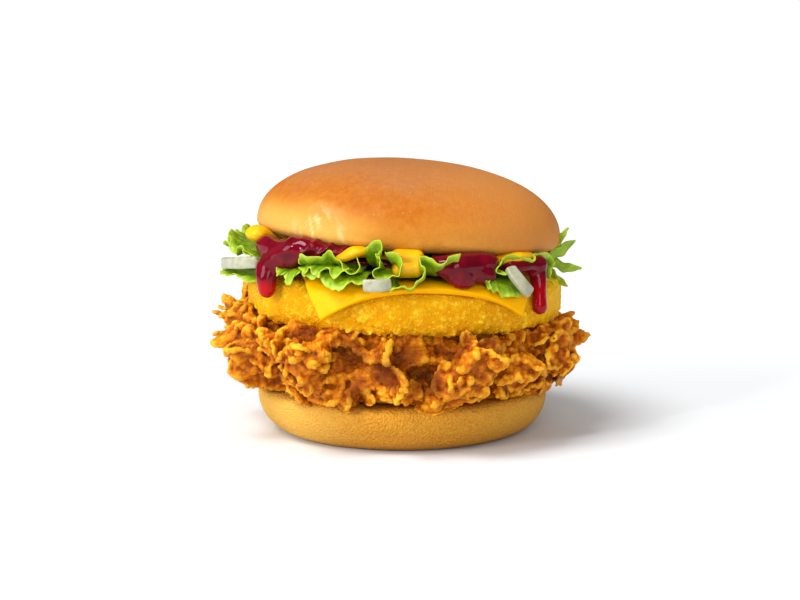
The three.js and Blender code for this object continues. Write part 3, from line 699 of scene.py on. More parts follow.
# Painted light on the left and right ends.
golden = tint(tree, kept(tree, "painted_light"), 0.6, golden, (1.0, 0.54, 0.004))
golden = blend(tree, light_crumb, golden, (1.0, 0.68, 0.03))
glints = use(tree, specks, Spacing=1.3, Size=0.3, Share=0.35)
golden = tint(tree, glints, 0.5, golden, (1.0, 0.70, 0.05))
tree.links.new(golden, shader.inputs["Base Color"])
bump(tree, shader, use(tree, grain, Pitch=0.6, Pits=0.9), 0.4)
serve(patty, "breaded_patty", patty_crumb, "breaded_patty")

# %% [markdown]
# The cheese is a square slice, soft from the heat. What lies past the patty's edge bends down, so its
# two front corners hang and the edge between them lifts in an arch. A point of the flat square goes
# over the edge along an arc, and a bevel rounds the cut edges.

# %% Cheese slice
CHEESE_SIDE = 76.5
CHEESE_THICKNESS = 2.3
CHEESE_ROOM = 2.5
CHEESE_LIFT = 0.35
CHEESE_SHIFT = (-2, -19)
CHEESE_TURN = math.radians(8.2)
CHEESE_FLAT_RADIUS = 52.2
CHEESE_BEND_RADIUS = 8.5
CHEESE_HANG = math.radians(76)
CHEESE_GRID = 85
CHEESE_ROUNDING = 0.5

side = np.linspace(-0.5, 0.5, CHEESE_GRID) * CHEESE_SIDE
flat_x, flat_y = np.meshgrid(side + CHEESE_SHIFT[0], side + CHEESE_SHIFT[1])
x = flat_x * math.cos(CHEESE_TURN) - flat_y * math.sin(CHEESE_TURN)
y = flat_x * math.sin(CHEESE_TURN) + flat_y * math.cos(CHEESE_TURN)
reach = np.hypot(x, y)
over = np.maximum(reach - CHEESE_FLAT_RADIUS, 0)
bend = np.minimum(over / CHEESE_BEND_RADIUS, CHEESE_HANG)
rest = np.maximum(over - CHEESE_BEND_RADIUS * CHEESE_HANG, 0)
bent = CHEESE_FLAT_RADIUS + CHEESE_BEND_RADIUS * np.sin(bend) + rest * math.cos(CHEESE_HANG)
radius = np.where(over > 0, bent, reach)
drop = CHEESE_BEND_RADIUS * (1 - np.cos(bend)) + rest * math.sin(CHEESE_HANG)
top = PATTY_THICKNESS + CHEESE_LIFT + CHEESE_ROOM / 2
middle = np.stack([x * radius / reach, y * radius / reach, top - drop], axis=2)
points, faces = sheet_mesh(middle, CHEESE_THICKNESS)
points = placed(points, patty_frame)
points = points + 0.12 * noise(points, 11, 10)[:, None]
cheese = mesh_object("cheese_drape", points, faces.tolist())
rounding = cheese.modifiers.new("rounding", "BEVEL")
rounding.width = CHEESE_ROUNDING * MM
rounding.segments = 3
rounding.limit_method = "ANGLE"
rounding.angle_limit = math.radians(50)
bake(cheese)

cheese_drape, tree, shader = new_material("cheese_drape", {
    "Roughness": 0.35, "Specular IOR Level": 0.06, "Subsurface Weight": 0.15, "Subsurface Scale": 0.003,
})
yellow = blend(tree, use(tree, mottle, Pitch=14), (0.88, 0.40, 0.0004), (0.92, 0.45, 0.0006))
tree.links.new(yellow, shader.inputs["Base Color"])
bump(tree, shader, use(tree, grain, Pitch=2.0, Pits=0.2), 0.05)
serve(cheese, "cheese_slice", cheese_drape, "cheese_slice")

# %% [markdown]
# The fried crust is the burger's most rugged surface: knobs, deep hollows, curled flakes and crumbs of
# batter over the fillet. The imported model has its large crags. A copy of it is fused into an even mesh
# first, and pushed in and out: at random but seeded nearly everywhere, and at listed spots of the rim
# where the real crust has its largest hollows and knobs.

# %% Chicken: core with hollows and knobs
CORE_VOXEL = 1.1
LOBE_PITCH = 13
LOBE_PUSH = 5.0
HOLLOW_DEPTH = 6.5
KNOB_PUSH = 2.2
RIM_FROM = 44
RIM_FULL = 50
CHICKEN_LOWEST = 17
HOLLOWS = [
    [-108, 34.8, 6.5], [-106, 23.8, 5], [-74.8, 39.6, 6.5], [-82, 27.3, 6], [-89, 35.2, 6], [-95, 30, 6.5],
    [-60, 40, 6], [-45, 20.6, 5], [-125, 44, 5], [-20, 24, 4], [60, 30, 5], [110, 34, 5], [150, 26, 5],
]
KNOBS = [
    [-65, 27.4, 5], [-68, 38, 4], [-99, 41, 4], [-121, 36, 5], [-133, 38, 5], [-38, 36, 6], [-100, 19, 4],
    [-150, 34, 6], [-20, 38, 5], [-84, 19, 5], [-119, 22, 5], [40, 34, 6], [90, 28, 6], [130, 36, 5],
]
CHICKEN_RADIUS = 58

chicken = copy_of_node("fried_chicken", "chicken_crust")
remesh(chicken, CORE_VOXEL)
relax(chicken, 0.6, 5)
points = points_of(chicken)
rim = smoothstep(np.hypot(points[:, 0], points[:, 1]), RIM_FROM, RIM_FULL)
lobes = billow(points, LOBE_PITCH, 11)


def near_spots(points, rows):
    """A mask that is 1 at the listed spots on the rim: angle, height and reach of each."""
    mask = np.zeros(len(points))
    for angle, height, spread in rows:
        turn = math.radians(angle)
        spot = np.array([CHICKEN_RADIUS * math.cos(turn), CHICKEN_RADIUS * math.sin(turn), height])
        away = np.linalg.norm(points - spot, axis=1)
        mask = np.maximum(mask, 1 - smoothstep(away, 0.4 * spread, 1.5 * spread))
    return mask


hollow_and_shade = near_spots(points, HOLLOWS)
knob = near_spots(points, KNOBS)
lumps = LOBE_PUSH * np.minimum(lobes, 0.9) + 1.3 * billow(points, 4.4, 12) - 4.2
rim *= 1 - 0.7 * smoothstep(-points[:, 0], 54, 59)
lumps = lumps * (1 - hollow_and_shade) - HOLLOW_DEPTH * hollow_and_shade + KNOB_PUSH * knob
move_points(chicken, points + normals_of(chicken) * (rim * lumps)[:, None])
print("core points:", len(points))

# %% [markdown]
# Batter dries in petals, crumbs and, at the thin ends, in crisp fingers. Each is a small closed shape
# of its own that starts on the core and stands aslant. Their places and sizes are drawn at random from
# one seeded source, so each run gives the same crust. Creases and hollows are left free of them.

# %% Chicken: flakes, nubs and strands
CHICKEN_SEED = 12
FLAKES = 520
NUBS = 1000
LARGE_SHARE = 0.14
CREASE = 0.2
STRANDS = [
    [172, 40, 28, 18, 2.3], [178, 41, 6, 21, 2.4], [184, 38, 20, 19, 1.7], [168, 40, 48, 15, 1.7],
    [186, 36, -6, 18, 2.2], [0, 38, 28, 15, 3.2], [-9, 36, 10, 15, 3.2],
]

draw = np.random.default_rng(CHICKEN_SEED)
core_points = points_of(chicken)
core_normals = normals_of(chicken)
reach = np.hypot(core_points[:, 0], core_points[:, 1])
outside = (reach > 49) & (core_points[:, 0] > -58) & (core_points[:, 2] > CHICKEN_LOWEST)
outside &= (np.abs(core_normals[:, 2]) < 0.93) & (lobes > CREASE) & (hollow_and_shade < 0.35)
spots = np.flatnonzero(outside)


def basis(normal, turn):
    """Two directions across a normal, turned about it."""
    side = np.cross(normal, [0.0, 0.0, 1.0]) + 1e-6
    side /= np.linalg.norm(side)
    other = np.cross(normal, side)
    return math.cos(turn) * side + math.sin(turn) * other, math.cos(turn) * other - math.sin(turn) * side


def crust_flake(spot, normal):
    """A crumpled petal of batter that lies aslant over the core, with a lifted and ragged rim."""
    length = draw.uniform(3, 6.5) + 4 * (draw.random() < LARGE_SHARE)
    width = length * draw.uniform(0.8, 1.5)
    lean = draw.uniform(0.95, 1.5)
    along_way, across_way = basis(normal, draw.uniform(0, 2 * math.pi))
    out_way = math.cos(lean) * normal + math.sin(lean) * along_way
    lift_way = math.sin(lean) * normal - math.cos(lean) * along_way
    along, across = np.meshgrid(np.linspace(-0.3, 1, 14), np.linspace(-0.5, 0.5, 12), indexing="ij")
    outline = np.sqrt(np.clip(1.06 - np.abs(along) ** 4, 0.08, 1))
    ragged = 1 + 0.16 * np.sin(across * draw.uniform(9, 15) + draw.uniform(0, 6)) * np.clip(along, 0, 1)
    lift = draw.uniform(-0.1, 0.5) * along**2 + draw.uniform(-0.8, 0.5) * across**2
    middle = (spot + (along * ragged * length)[..., None] * out_way
              + (across * outline * width)[..., None] * across_way)
    crumple = noise(middle.reshape(-1, 3), 2.2, 16).reshape(along.shape)
    middle = middle + (lift * length + (0.5 + 0.13 * length) * crumple)[..., None] * lift_way
    return sheet_mesh(middle, draw.uniform(1.1, 1.9) * (1.2 - 0.35 * np.clip(along, 0, 1)))


ball_mesh = bmesh.new()
bmesh.ops.create_icosphere(ball_mesh, subdivisions=2, radius=1)
BALL_POINTS = np.array([v.co[:] for v in ball_mesh.verts])
BALL_FACES = np.array([[v.index for v in f.verts] for f in ball_mesh.faces])
ball_mesh.free()


def crust_nub(spot, normal):
    """A crumb of batter, uneven and often longer than wide."""
    size = 0.6 + 1.8 * draw.random() ** 2
    shape = BALL_POINTS * draw.uniform(0.6, 1.5, 3) * size
    shape = shape * (0.8 + 0.4 * billow(shape + spot, size * 1.2, 13))[:, None]
    return shape + spot + normal * size * 0.3, BALL_FACES


def crust_strand(angle, height, lift, length, thickness):
    """A thin crisp finger of batter that sticks out, bends and tapers."""
    share = BALL_POINTS[:, 0] * 0.5 + 0.5
    thick = mix(thickness, 0.55 * thickness, share)
    x = BALL_POINTS[:, 0] * length / 2
    y = BALL_POINTS[:, 1] * thick + 0.9 * np.sin(x * 0.45 + angle)
    z = BALL_POINTS[:, 2] * thick * 0.8 + 0.8 * np.sin(x * 0.3 + height)
    turn, lean = math.radians(angle), math.radians(lift)
    out = x * math.cos(lean) - z * math.sin(lean) + 50 + length / 2
    up = x * math.sin(lean) + z * math.cos(lean) + height
    turned_x = out * math.cos(turn) - y * math.sin(turn)
    turned_y = out * math.sin(turn) + y * math.cos(turn)
    shape = np.stack([turned_x, turned_y, up], axis=1)
    return shape + 0.35 * noise(shape, 1.8, 17)[:, None], BALL_FACES


def gathered(shapes):
    """Joins many small shapes into one list of points and faces."""
    all_points, all_faces, start = [], [], 0
    for shape_points, shape_faces in shapes:
        all_points.append(shape_points)
        all_faces.extend((shape_faces + start).tolist())
        start += len(shape_points)
    return np.vstack(all_points), all_faces


print("free places on the crust:", len(spots))

# %% [markdown]
# Now core and batter are put into one mesh and fused. A voxel remesh does this without any Boolean
# step, and it rounds the joins as frying does.

# %% Chicken: all fused
CRUST_VOXEL = 0.55

chosen = draw.choice(spots, FLAKES + NUBS)
shapes = [crust_flake(core_points[i], core_normals[i]) for i in chosen[:FLAKES]]
shapes += [crust_nub(core_points[i], core_normals[i]) for i in chosen[FLAKES:]]
shapes += [crust_strand(*strand) for strand in STRANDS]
extra_points, extra_faces = gathered(shapes)
core_faces = [tuple(f.vertices) for f in chicken.data.polygons]
shifted = [tuple(v + len(core_points) for v in face) for face in extra_faces]
joined = mesh_object("chicken_joined", np.vstack([core_points, extra_points]), core_faces + shifted)
bpy.data.objects.remove(chicken)
joined.name = "chicken_crust"
chicken = joined
remesh(chicken, CRUST_VOXEL)
print("chicken faces after fusing:", len(chicken.data.polygons))

# %% [markdown]
# The crust gets its finest bumps, and is drawn in below, where the fillet rests on the heel. Its
# colour follows its relief as painted shade and painted light: hollows are painted dark brown and
# raised edges golden. To find both, the mesh is compared with smoothed copies of itself: what lies
# outside them is raised.

# %% Chicken: fine relief and its measure
CHICKEN_TRIANGLES = 190_000
CHICKEN_FOOT = (61, 53)
FOOT_SLOPE = 1.15
KEPT_OVERHANG = 0.55
KEPT_DEPTH = 0.5
LEFT_LOBE_PUSH = 2.5


def edge_ends(piece):
    """The two points of each edge."""
    flat = np.empty(len(piece.data.edges) * 2, dtype=np.int64)
    piece.data.edges.foreach_get("vertices", flat)
    return flat.reshape(-1, 2)


def smoothed(points, ends, repeats):
    """Each point moved to the mean of its neighbours, a number of times."""
    first, second = ends.T
    count = np.bincount(np.concatenate([first, second]), minlength=len(points))[:, None]
    for _ in range(repeats):
        total = np.stack([np.bincount(first, points[second, k], len(points))
                          + np.bincount(second, points[first, k], len(points)) for k in range(3)], axis=1)
        points = 0.5 * points + 0.5 * total / np.maximum(count, 1)
    return points


points = points_of(chicken)
rough = 0.5 * billow(points, 2.4, 14) + 0.4 * billow(points, 1.15, 15) - 0.36
rim = smoothstep(np.hypot(points[:, 0], points[:, 1]), RIM_FROM, RIM_FULL)
points = points + normals_of(chicken) * (rim * rough)[:, None]
below = np.maximum(CHICKEN_LOWEST - points[:, 2], 0)
points[:, 2] += KEPT_DEPTH * below
reach = np.hypot(points[:, 0], points[:, 1])
foot = mix(*CHICKEN_FOOT, smoothstep(points[:, 0], -30, 20))
allowed = foot + FOOT_SLOPE * np.maximum(points[:, 2] - CHICKEN_LOWEST + 1, 0)
drawn_in = np.where(reach > allowed, (allowed + KEPT_OVERHANG * (reach - allowed)) / reach, 1)
points[:, :2] *= drawn_in[:, None]
left_lobe = smoothstep(-points[:, 0], 46, 60) * smoothstep(points[:, 2], 19, 25)
left_lobe *= 1 - smoothstep(points[:, 2], 34, 38)
points[:, 0] -= LEFT_LOBE_PUSH * left_lobe
move_points(chicken, points)
fewer = chicken.modifiers.new("fewer", "DECIMATE")
fewer.ratio = min(1, CHICKEN_TRIANGLES / (2 * len(chicken.data.polygons)))
bake(chicken)
points = points_of(chicken)
normals = normals_of(chicken)
ends = edge_ends(chicken)
near = smoothed(points, ends, 8)
far = smoothed(near, ends, 70)
store(chicken, "fine_relief", np.einsum("ij,ij->i", points - near, normals))
store(chicken, "broad_relief", np.einsum("ij,ij->i", points - far, normals))
# Painted shade: the listed hollows are stored so that they can be painted darker.
store(chicken, "hollow_and_shade", near_spots(points, HOLLOWS))
chicken.data.validate()
print("chicken triangles:", sum(len(f.vertices) - 2 for f in chicken.data.polygons))

# %% [markdown]
# Fried batter is orange brown, and small dark specks of pepper lie in it. Over that lie painted shade
# and painted light: golden on raised edges, dark red brown in the hollows and darkest in the listed
# hollows. The two measured reliefs are added to one value for a ramp.

# %% Chicken material
chicken_crust, tree, shader = new_material("chicken_crust", {
    "Specular IOR Level": 0.14, "Subsurface Weight": 0.04, "Subsurface Scale": 0.0015,
})
# Painted shade and light: the ramp follows the relief, dark in hollows and golden on raised edges.
relief_shade_and_light = sum_of(tree, kept(tree, "broad_relief"), 0.24, "MULTIPLY")
relief_shade_and_light = sum_of(tree, relief_shade_and_light, sum_of(tree, kept(tree, "fine_relief"), 0.6, "MULTIPLY"))
relief_shade_and_light = sum_of(tree, relief_shade_and_light, 0.43)
fried = ramp(tree, relief_shade_and_light, [
    (0.0, (0.06, 0.006, 0.0002)), (0.3, (0.27, 0.042, 0.0003)), (0.55, (0.55, 0.138, 0.0007)),
    (0.8, (0.76, 0.27, 0.002)), (1.0, (0.96, 0.49, 0.024)),
], smooth=False)
fried = tint(tree, use(tree, mottle, Pitch=11), 0.5, fried, (0.44, 0.09, 0.0005))
fried = tint(tree, use(tree, mottle, Pitch=3), 0.2, fried, (0.78, 0.30, 0.003))
# Painted shade in the listed hollows.
fried = tint(tree, kept(tree, "hollow_and_shade"), 0.85, fried, (0.15, 0.018, 0.0002))
fried = blend(tree, use(tree, specks, Spacing=2.8, Size=0.13, Share=0.14), fried, (0.03, 0.012, 0.005))
tree.links.new(fried, shader.inputs["Base Color"])
tree.links.new(ramp(tree, use(tree, mottle, Pitch=4), [(0, 0.3), (1, 0.55)]), shader.inputs["Roughness"])
bump(tree, shader, use(tree, grain, Pitch=0.7, Pits=0.6), 0.4)
serve(chicken, "fried_chicken", chicken_crust, "fried_chicken")

# %% [markdown]
# The fillings lie between two tilted planes, the cheese's top and the crown's underside. All heights
# of leaves, jam and sauce are shares of the room between them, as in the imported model.


# %% Room for the fillings
BELOW_CROWN = 0.5
ABOVE_CHEESE = 0.8


def plane_height(matrix, offset):
    """The height of a tilted plane over any x and y."""
    normal = np.array(matrix.to_3x3() @ Vector((0, 0, 1)))
    through = np.array(matrix @ Vector((0, 0, offset)))

    def height(x, y):
        return through[2] - (normal[0] * (x - through[0]) + normal[1] * (y - through[1])) / normal[2]

    return height


crown_under = plane_height(crown_frame, -BELOW_CROWN)
cheese_top = plane_height(patty_frame, PATTY_THICKNESS + CHEESE_ROOM + ABOVE_CHEESE)
print("room at the middle:", round(float(crown_under(0, 0) - cheese_top(0, 0)), 1))

# %% [markdown]
# Jam and sauce are soft and wet. Each is a thin layer under the crown with streams that run out of it.
# A stream is a row of balls whose place and size change evenly, and one fine mesh fuses them, so that
# they flow together as surface tension makes them. The layer's rim is uneven and sags, because a clean
# disc would look like a plate at the back. A ball is an angle, a distance from the axis, a height, and
# its half sizes along the rim, outwards and upwards.

# %% Streams
JAM_LAYER = dict(radius=51, low=0.52, high=0.72)
SAUCE_LAYER = dict(radius=50, low=0.8, high=0.97)
JAM_STREAMS = [
    [
        [-147, 55, 68.8, 5.5, 5, 5], [-136, 56, 69.6, 7, 6, 5], [-125, 54.6, 71, 7, 4.4, 3.6],
        [-113, 53, 71.2, 4, 3.6, 1.8],
    ],
    [
        [-136, 56, 68.5, 8, 5, 4.5], [-142.6, 58, 65, 5, 4.2, 4.5], [-141.6, 60, 60.6, 4, 3.4, 3.6],
        [-140.8, 60.4, 56.5, 3.3, 2.9, 3.4],
    ],
    [[-77, 53, 67.4, 4, 4.4, 2.4], [-72, 56, 66, 7, 5.4, 4.6], [-59, 55.6, 66.2, 4.4, 4.8, 3.8]],
    [[-72, 56, 65.4, 6, 4.6, 4.2], [-69, 57.8, 62.2, 5.2, 4, 3.8]],
    [[-65, 56, 65, 5, 4.8, 4.2], [-60.5, 57.2, 63, 4.2, 4, 3.6]],
    [[-47, 53.6, 64.6, 5, 6, 3], [-37, 57.2, 64, 5, 4.4, 3.4]],
    [[-36, 57.6, 63, 3.6, 3.4, 3], [-37.6, 60, 57, 2.4, 2.5, 2.6], [-38, 60.6, 50, 2.8, 2.6, 2.7]],
    [[149, 54, 67, 5, 6, 3.6], [138, 54, 66.4, 5, 6, 3.4]],
    [[143.5, 56, 65.4, 4.6, 4.4, 3.6], [143, 59.4, 57.6, 3.4, 2.9, 3.2]],
]
SAUCE_STREAMS = [
    [[-157, 50, 70.8, 4.6, 5, 1.5], [-154, 56.5, 74, 5.4, 4.4, 3.2]],
    [[-107, 50, 69.6, 4, 4, 1.3], [-106, 54.6, 71.4, 4.4, 4.4, 1.9], [-110.6, 57, 69, 2.8, 2.6, 1.8]],
    [
        [-91.6, 53, 69.7, 2.6, 4, 2.6], [-84.6, 53, 69.5, 2.6, 4, 2.6],
        [-84.9, 54.2, 65.4, 2.4, 3.4, 2.8], [-91.6, 54.2, 65.2, 2.4, 3.4, 2.8],
    ],
    [[-51, 52, 66.8, 4.6, 5, 1.6], [-45, 55.2, 67.4, 5.4, 4.2, 2.2], [-39.5, 54.8, 67.2, 4, 3.8, 1.9]],
    [[49, 54, 66, 5, 6, 3.6], [57, 54, 66, 5, 6, 3.6]],
]
BALLS_A_LINK = 14
LAYER_WAVE_PITCH = 13
LAYER_SEGMENTS = 180
LAYER_EDGE = 6
FLOW_VOXEL = 0.5


def stream_balls(stream):
    """The stream's own balls and those between them, each as points and faces."""
    for first, second in zip(stream, stream[1:]):
        for share in np.linspace(0, 1, BALLS_A_LINK):
            angle, distance, height, along, out, up = mix(np.array(first), np.array(second), share)
            turn = math.radians(angle)
            outwards = np.array([math.cos(turn), math.sin(turn), 0])
            sideways = np.array([-math.sin(turn), math.cos(turn), 0])
            shape = (BALL_POINTS[:, :1] * out * outwards + BALL_POINTS[:, 1:2] * along * sideways
                     + BALL_POINTS[:, 2:] * up * [0, 0, 1])
            yield shape + outwards * distance + [0, 0, height], BALL_FACES


def layer_disc(radius, low, high):
    """A thin disc between two shares of the room that the crown and the cheese leave."""
    inner, outer = radius - LAYER_EDGE, radius - 0.5
    profile = np.array([[0, 0], [inner, 0], [outer, 0], [radius, 0.5], [outer, 1], [inner, 1], [0, 1]])
    disc = turned("layer", profile, LAYER_SEGMENTS)
    points = points_of(disc)
    share = np.hypot(points[:, 0], points[:, 1]) / radius
    points[:, :2] *= (1 - share**4 * (0.045 + 0.1 * noise(points, LAYER_WAVE_PITCH, 24)))[:, None]
    x, y = points[:, 0], points[:, 1]
    sag = 0.12 * smoothstep(share, 0.8, 1) * (1 + noise(points, LAYER_WAVE_PITCH, 25))
    points[:, 2] = mix(cheese_top(x, y), crown_under(x, y), mix(low, high, points[:, 2]) - sag)
    faces = [tuple(face.vertices) for face in disc.data.polygons]
    bpy.data.objects.remove(disc)
    return points, faces


def flowing(name, layer, streams):
    """One smooth body from a layer and its streams."""
    disc_points, disc_faces = layer_disc(**layer)
    ball_points, ball_faces = gathered([one for stream in streams for one in stream_balls(stream)])
    shifted = [tuple(v + len(disc_points) for v in face) for face in ball_faces]
    piece = mesh_object(name, np.vstack([disc_points, ball_points]), disc_faces + shifted)
    remesh(piece, FLOW_VOXEL)
    relax(piece, 0.6, 4)
    return piece


print("jam streams:", len(JAM_STREAMS), "sauce streams:", len(SAUCE_STREAMS))

# %% [markdown]
# Jam is dark, clear and very glossy, and it flows in long folds: down the drips, and aslant over the
# mass at the left. Both sets of folds are computed everywhere and mixed by place. Where a drip is thin,
# light comes through it and it turns bright red, which a painted mask shows more surely than real
# depth of colour would.

# %% Jam
JAM_RIDGE_PITCH = 3.4


def flow_ridges(across, along):
    """Long ridges beside each other, from a coordinate across the flow and one along it."""
    spots = np.stack([across, along * 0.2, 0 * along], axis=1)
    return 0.6 - 2 * np.abs(noise(spots, JAM_RIDGE_PITCH, 21))


jam = flowing("jam_body", JAM_LAYER, JAM_STREAMS)
points = points_of(jam)
x, y, z = points.T
slanted = smoothstep(z, 60, 68) * smoothstep(-x, 10, 20)
outside = smoothstep(np.hypot(x, y), 50, 54)
aslant_ridges = flow_ridges(0.78 * z - 0.62 * x, -0.78 * x - 0.62 * z)
ridges = mix(flow_ridges(x, z), aslant_ridges, slanted)
broad = smoothstep(z, 58, 64)
strength = mix(0.1, mix(0.4, 1.1, smoothstep(-x, 12, 22)), broad)
rolling = mix(0.5, 1.0, smoothstep(x, 0, 10)) * noise(points, 6.5, 23)
swell = strength * ridges + mix(0.15, 1.0, broad) * rolling + 0.2
move_points(jam, points + normals_of(jam) * (outside * swell)[:, None])
relax(jam, 0.5, 1)
# The painted glow of the thin drips is weaker at the right, which lies away from the lamps.
less_at_right = mix(1, 0.55, smoothstep(points[:, 0], -5, 5))
store(jam, "thin", smoothstep(-points[:, 2], -61, -56) * less_at_right)

jam_body, tree, shader = new_material("jam_body", {
    "Roughness": 0.08, "Coat Weight": 0.28, "Coat Roughness": 0.02, "Specular IOR Level": 0.08,
})
berry = blend(tree, use(tree, mottle, Pitch=4.5), (0.10, 0.0006, 0.006), (0.17, 0.001, 0.009))
berry = blend(tree, kept(tree, "thin"), berry, (0.42, 0.0006, 0.002))
tree.links.new(berry, shader.inputs["Base Color"])
serve(jam, "berry_jam", jam_body, "berry_jam")

# %% [markdown]
# The yellow sauce is thicker and hides what is under it. It is silky rather than glassy, with a few dark
# spice specks.

# %% Sauce
sauce = flowing("sauce_body", SAUCE_LAYER, SAUCE_STREAMS)
points = points_of(sauce)
outside = smoothstep(np.hypot(points[:, 0], points[:, 1]), 49, 53)
drape = np.stack([points[:, 0], points[:, 1], points[:, 2] * 0.3], axis=1)
move_points(sauce, points + normals_of(sauce) * (outside * 0.4 * noise(drape, 5, 22))[:, None])
relax(sauce, 0.5, 2)

sauce_body, tree, shader = new_material("sauce_body", {
    "Roughness": 0.25, "Coat Weight": 0.12, "Coat Roughness": 0.08, "Specular IOR Level": 0.12,
    "Subsurface Weight": 0.1, "Subsurface Scale": 0.002,
})
mustard = blend(tree, use(tree, mottle, Pitch=6), (0.72, 0.34, 0.0015), (0.82, 0.44, 0.003))
mustard = blend(tree, use(tree, specks, Spacing=3.0, Size=0.12, Share=0.3), mustard, (0.10, 0.04, 0.01))
tree.links.new(mustard, shader.inputs["Base Color"])
bump(tree, shader, use(tree, mottle, Pitch=9), 0.05)
serve(sauce, "yellow_sauce", sauce_body, "yellow_sauce")

# %% [markdown]
# An onion strip is a slice of a ring: a bent bar with a softly squared section and crisp ends, white
# with a green tinge and a little clear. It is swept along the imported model's own path.

# %% Onion strips
ONIONS = {
    "onion_left": [[-64, -13.5, 61.8], [-60.6, -21, 63], [-56, -27.6, 64], [-50, -32, 64.8]],
    "onion_front": [[-12.9, -61.4, 60.9], [-10, -62.6, 61], [-7, -62.7, 61.1], [-3.7, -61.6, 61.3]],
    "onion_right": [[43.7, -47.9, 56.2], [41, -50.1, 59.4], [38.6, -49.8, 62.4], [36.6, -47.8, 65.2]],
    "onion_back": [[-8, 61, 61.5], [-16, 60, 62], [-24, 56, 62.6], [-30, 51, 63.4]],
}
ONION_WIDTH = 4.3
ONION_DEPTH = 2.5
ONION_RINGS = 46
ONION_SIDES = 32
ONION_SQUARENESS = 0.5


def curve_through(knots, count):
    """Points on a smooth curve through the knots."""
    knots = np.asarray(knots, float)
    padded = np.vstack([2 * knots[0] - knots[1], knots, 2 * knots[-1] - knots[-2]])
    places = np.linspace(0, len(knots) - 1 - 1e-6, count)
    made = []
    for place in places:
        i = int(place)
        t = place - i
        a, b, c, d = padded[i : i + 4]
        made.append(0.5 * (2 * b + (c - a) * t + (2 * a - 5 * b + 4 * c - d) * t**2
                           + (3 * b - a - 3 * c + d) * t**3))
    return np.array(made)


def onion_strip(name, knots):
    """A bent bar whose flat side faces outwards, with rounded corners and ends."""
    path = curve_through(knots, ONION_RINGS)
    forward = np.gradient(path, axis=0)
    forward /= np.linalg.norm(forward, axis=1, keepdims=True)
    outwards = path * [1, 1, 0]
    outwards -= forward * np.sum(outwards * forward, axis=1, keepdims=True)
    outwards /= np.linalg.norm(outwards, axis=1, keepdims=True)
    upward = np.cross(outwards, forward)
    turn = np.linspace(0, 2 * math.pi, ONION_SIDES, endpoint=False)
    across = np.sign(np.cos(turn)) * np.abs(np.cos(turn)) ** ONION_SQUARENESS * ONION_DEPTH / 2
    up = np.sign(np.sin(turn)) * np.abs(np.sin(turn)) ** ONION_SQUARENESS * ONION_WIDTH / 2
    from_end = np.minimum(np.arange(ONION_RINGS), np.arange(ONION_RINGS)[::-1])
    full = np.array([0.0, 0.82, 0.96])[np.minimum(from_end, 2)] + 0.04 * (from_end > 2)
    section = outwards[:, None] * across[None, :, None] + upward[:, None] * up[None, :, None]
    points = (path[:, None] + section * full[:, None, None]).reshape(-1, 3)
    faces = []
    for ring in range(0, (ONION_RINGS - 1) * ONION_SIDES, ONION_SIDES):
        for j in range(ONION_SIDES):
            k = (j + 1) % ONION_SIDES
            faces.append((ring + j, ring + k, ring + ONION_SIDES + k, ring + ONION_SIDES + j))
    return mesh_object(name, points + 0.12 * noise(points, 5, 30)[:, None], faces)


onion_flesh, tree, shader = new_material("onion_flesh", {
    "Roughness": 0.28, "Coat Weight": 0.3, "Coat Roughness": 0.1, "Specular IOR Level": 0.4,
    "Subsurface Weight": 0.3, "Subsurface Scale": 0.003,
})
flesh = blend(tree, use(tree, mottle, Pitch=3), (0.32, 0.325, 0.205), (0.43, 0.43, 0.31))
tree.links.new(flesh, shader.inputs["Base Color"])
bump(tree, shader, use(tree, grain, Pitch=1.2, Pits=0.1), 0.04)
for name, knots in ONIONS.items():
    serve(onion_strip(f"{name}_strip", knots), "onion", onion_flesh, name)

# %% [markdown]
# A lettuce leaf's rim has more edge than the leaf has room for, so it ruffles. The wide folds are
# listed, as they make the burger's look: each row is a place on the rim, given by its angle round the
# axis, its distance from it, its height, and the lean of the leaf there in degrees. A leaf with a row
# called fold has a second lobe behind or under the first. The places are the imported model's own.

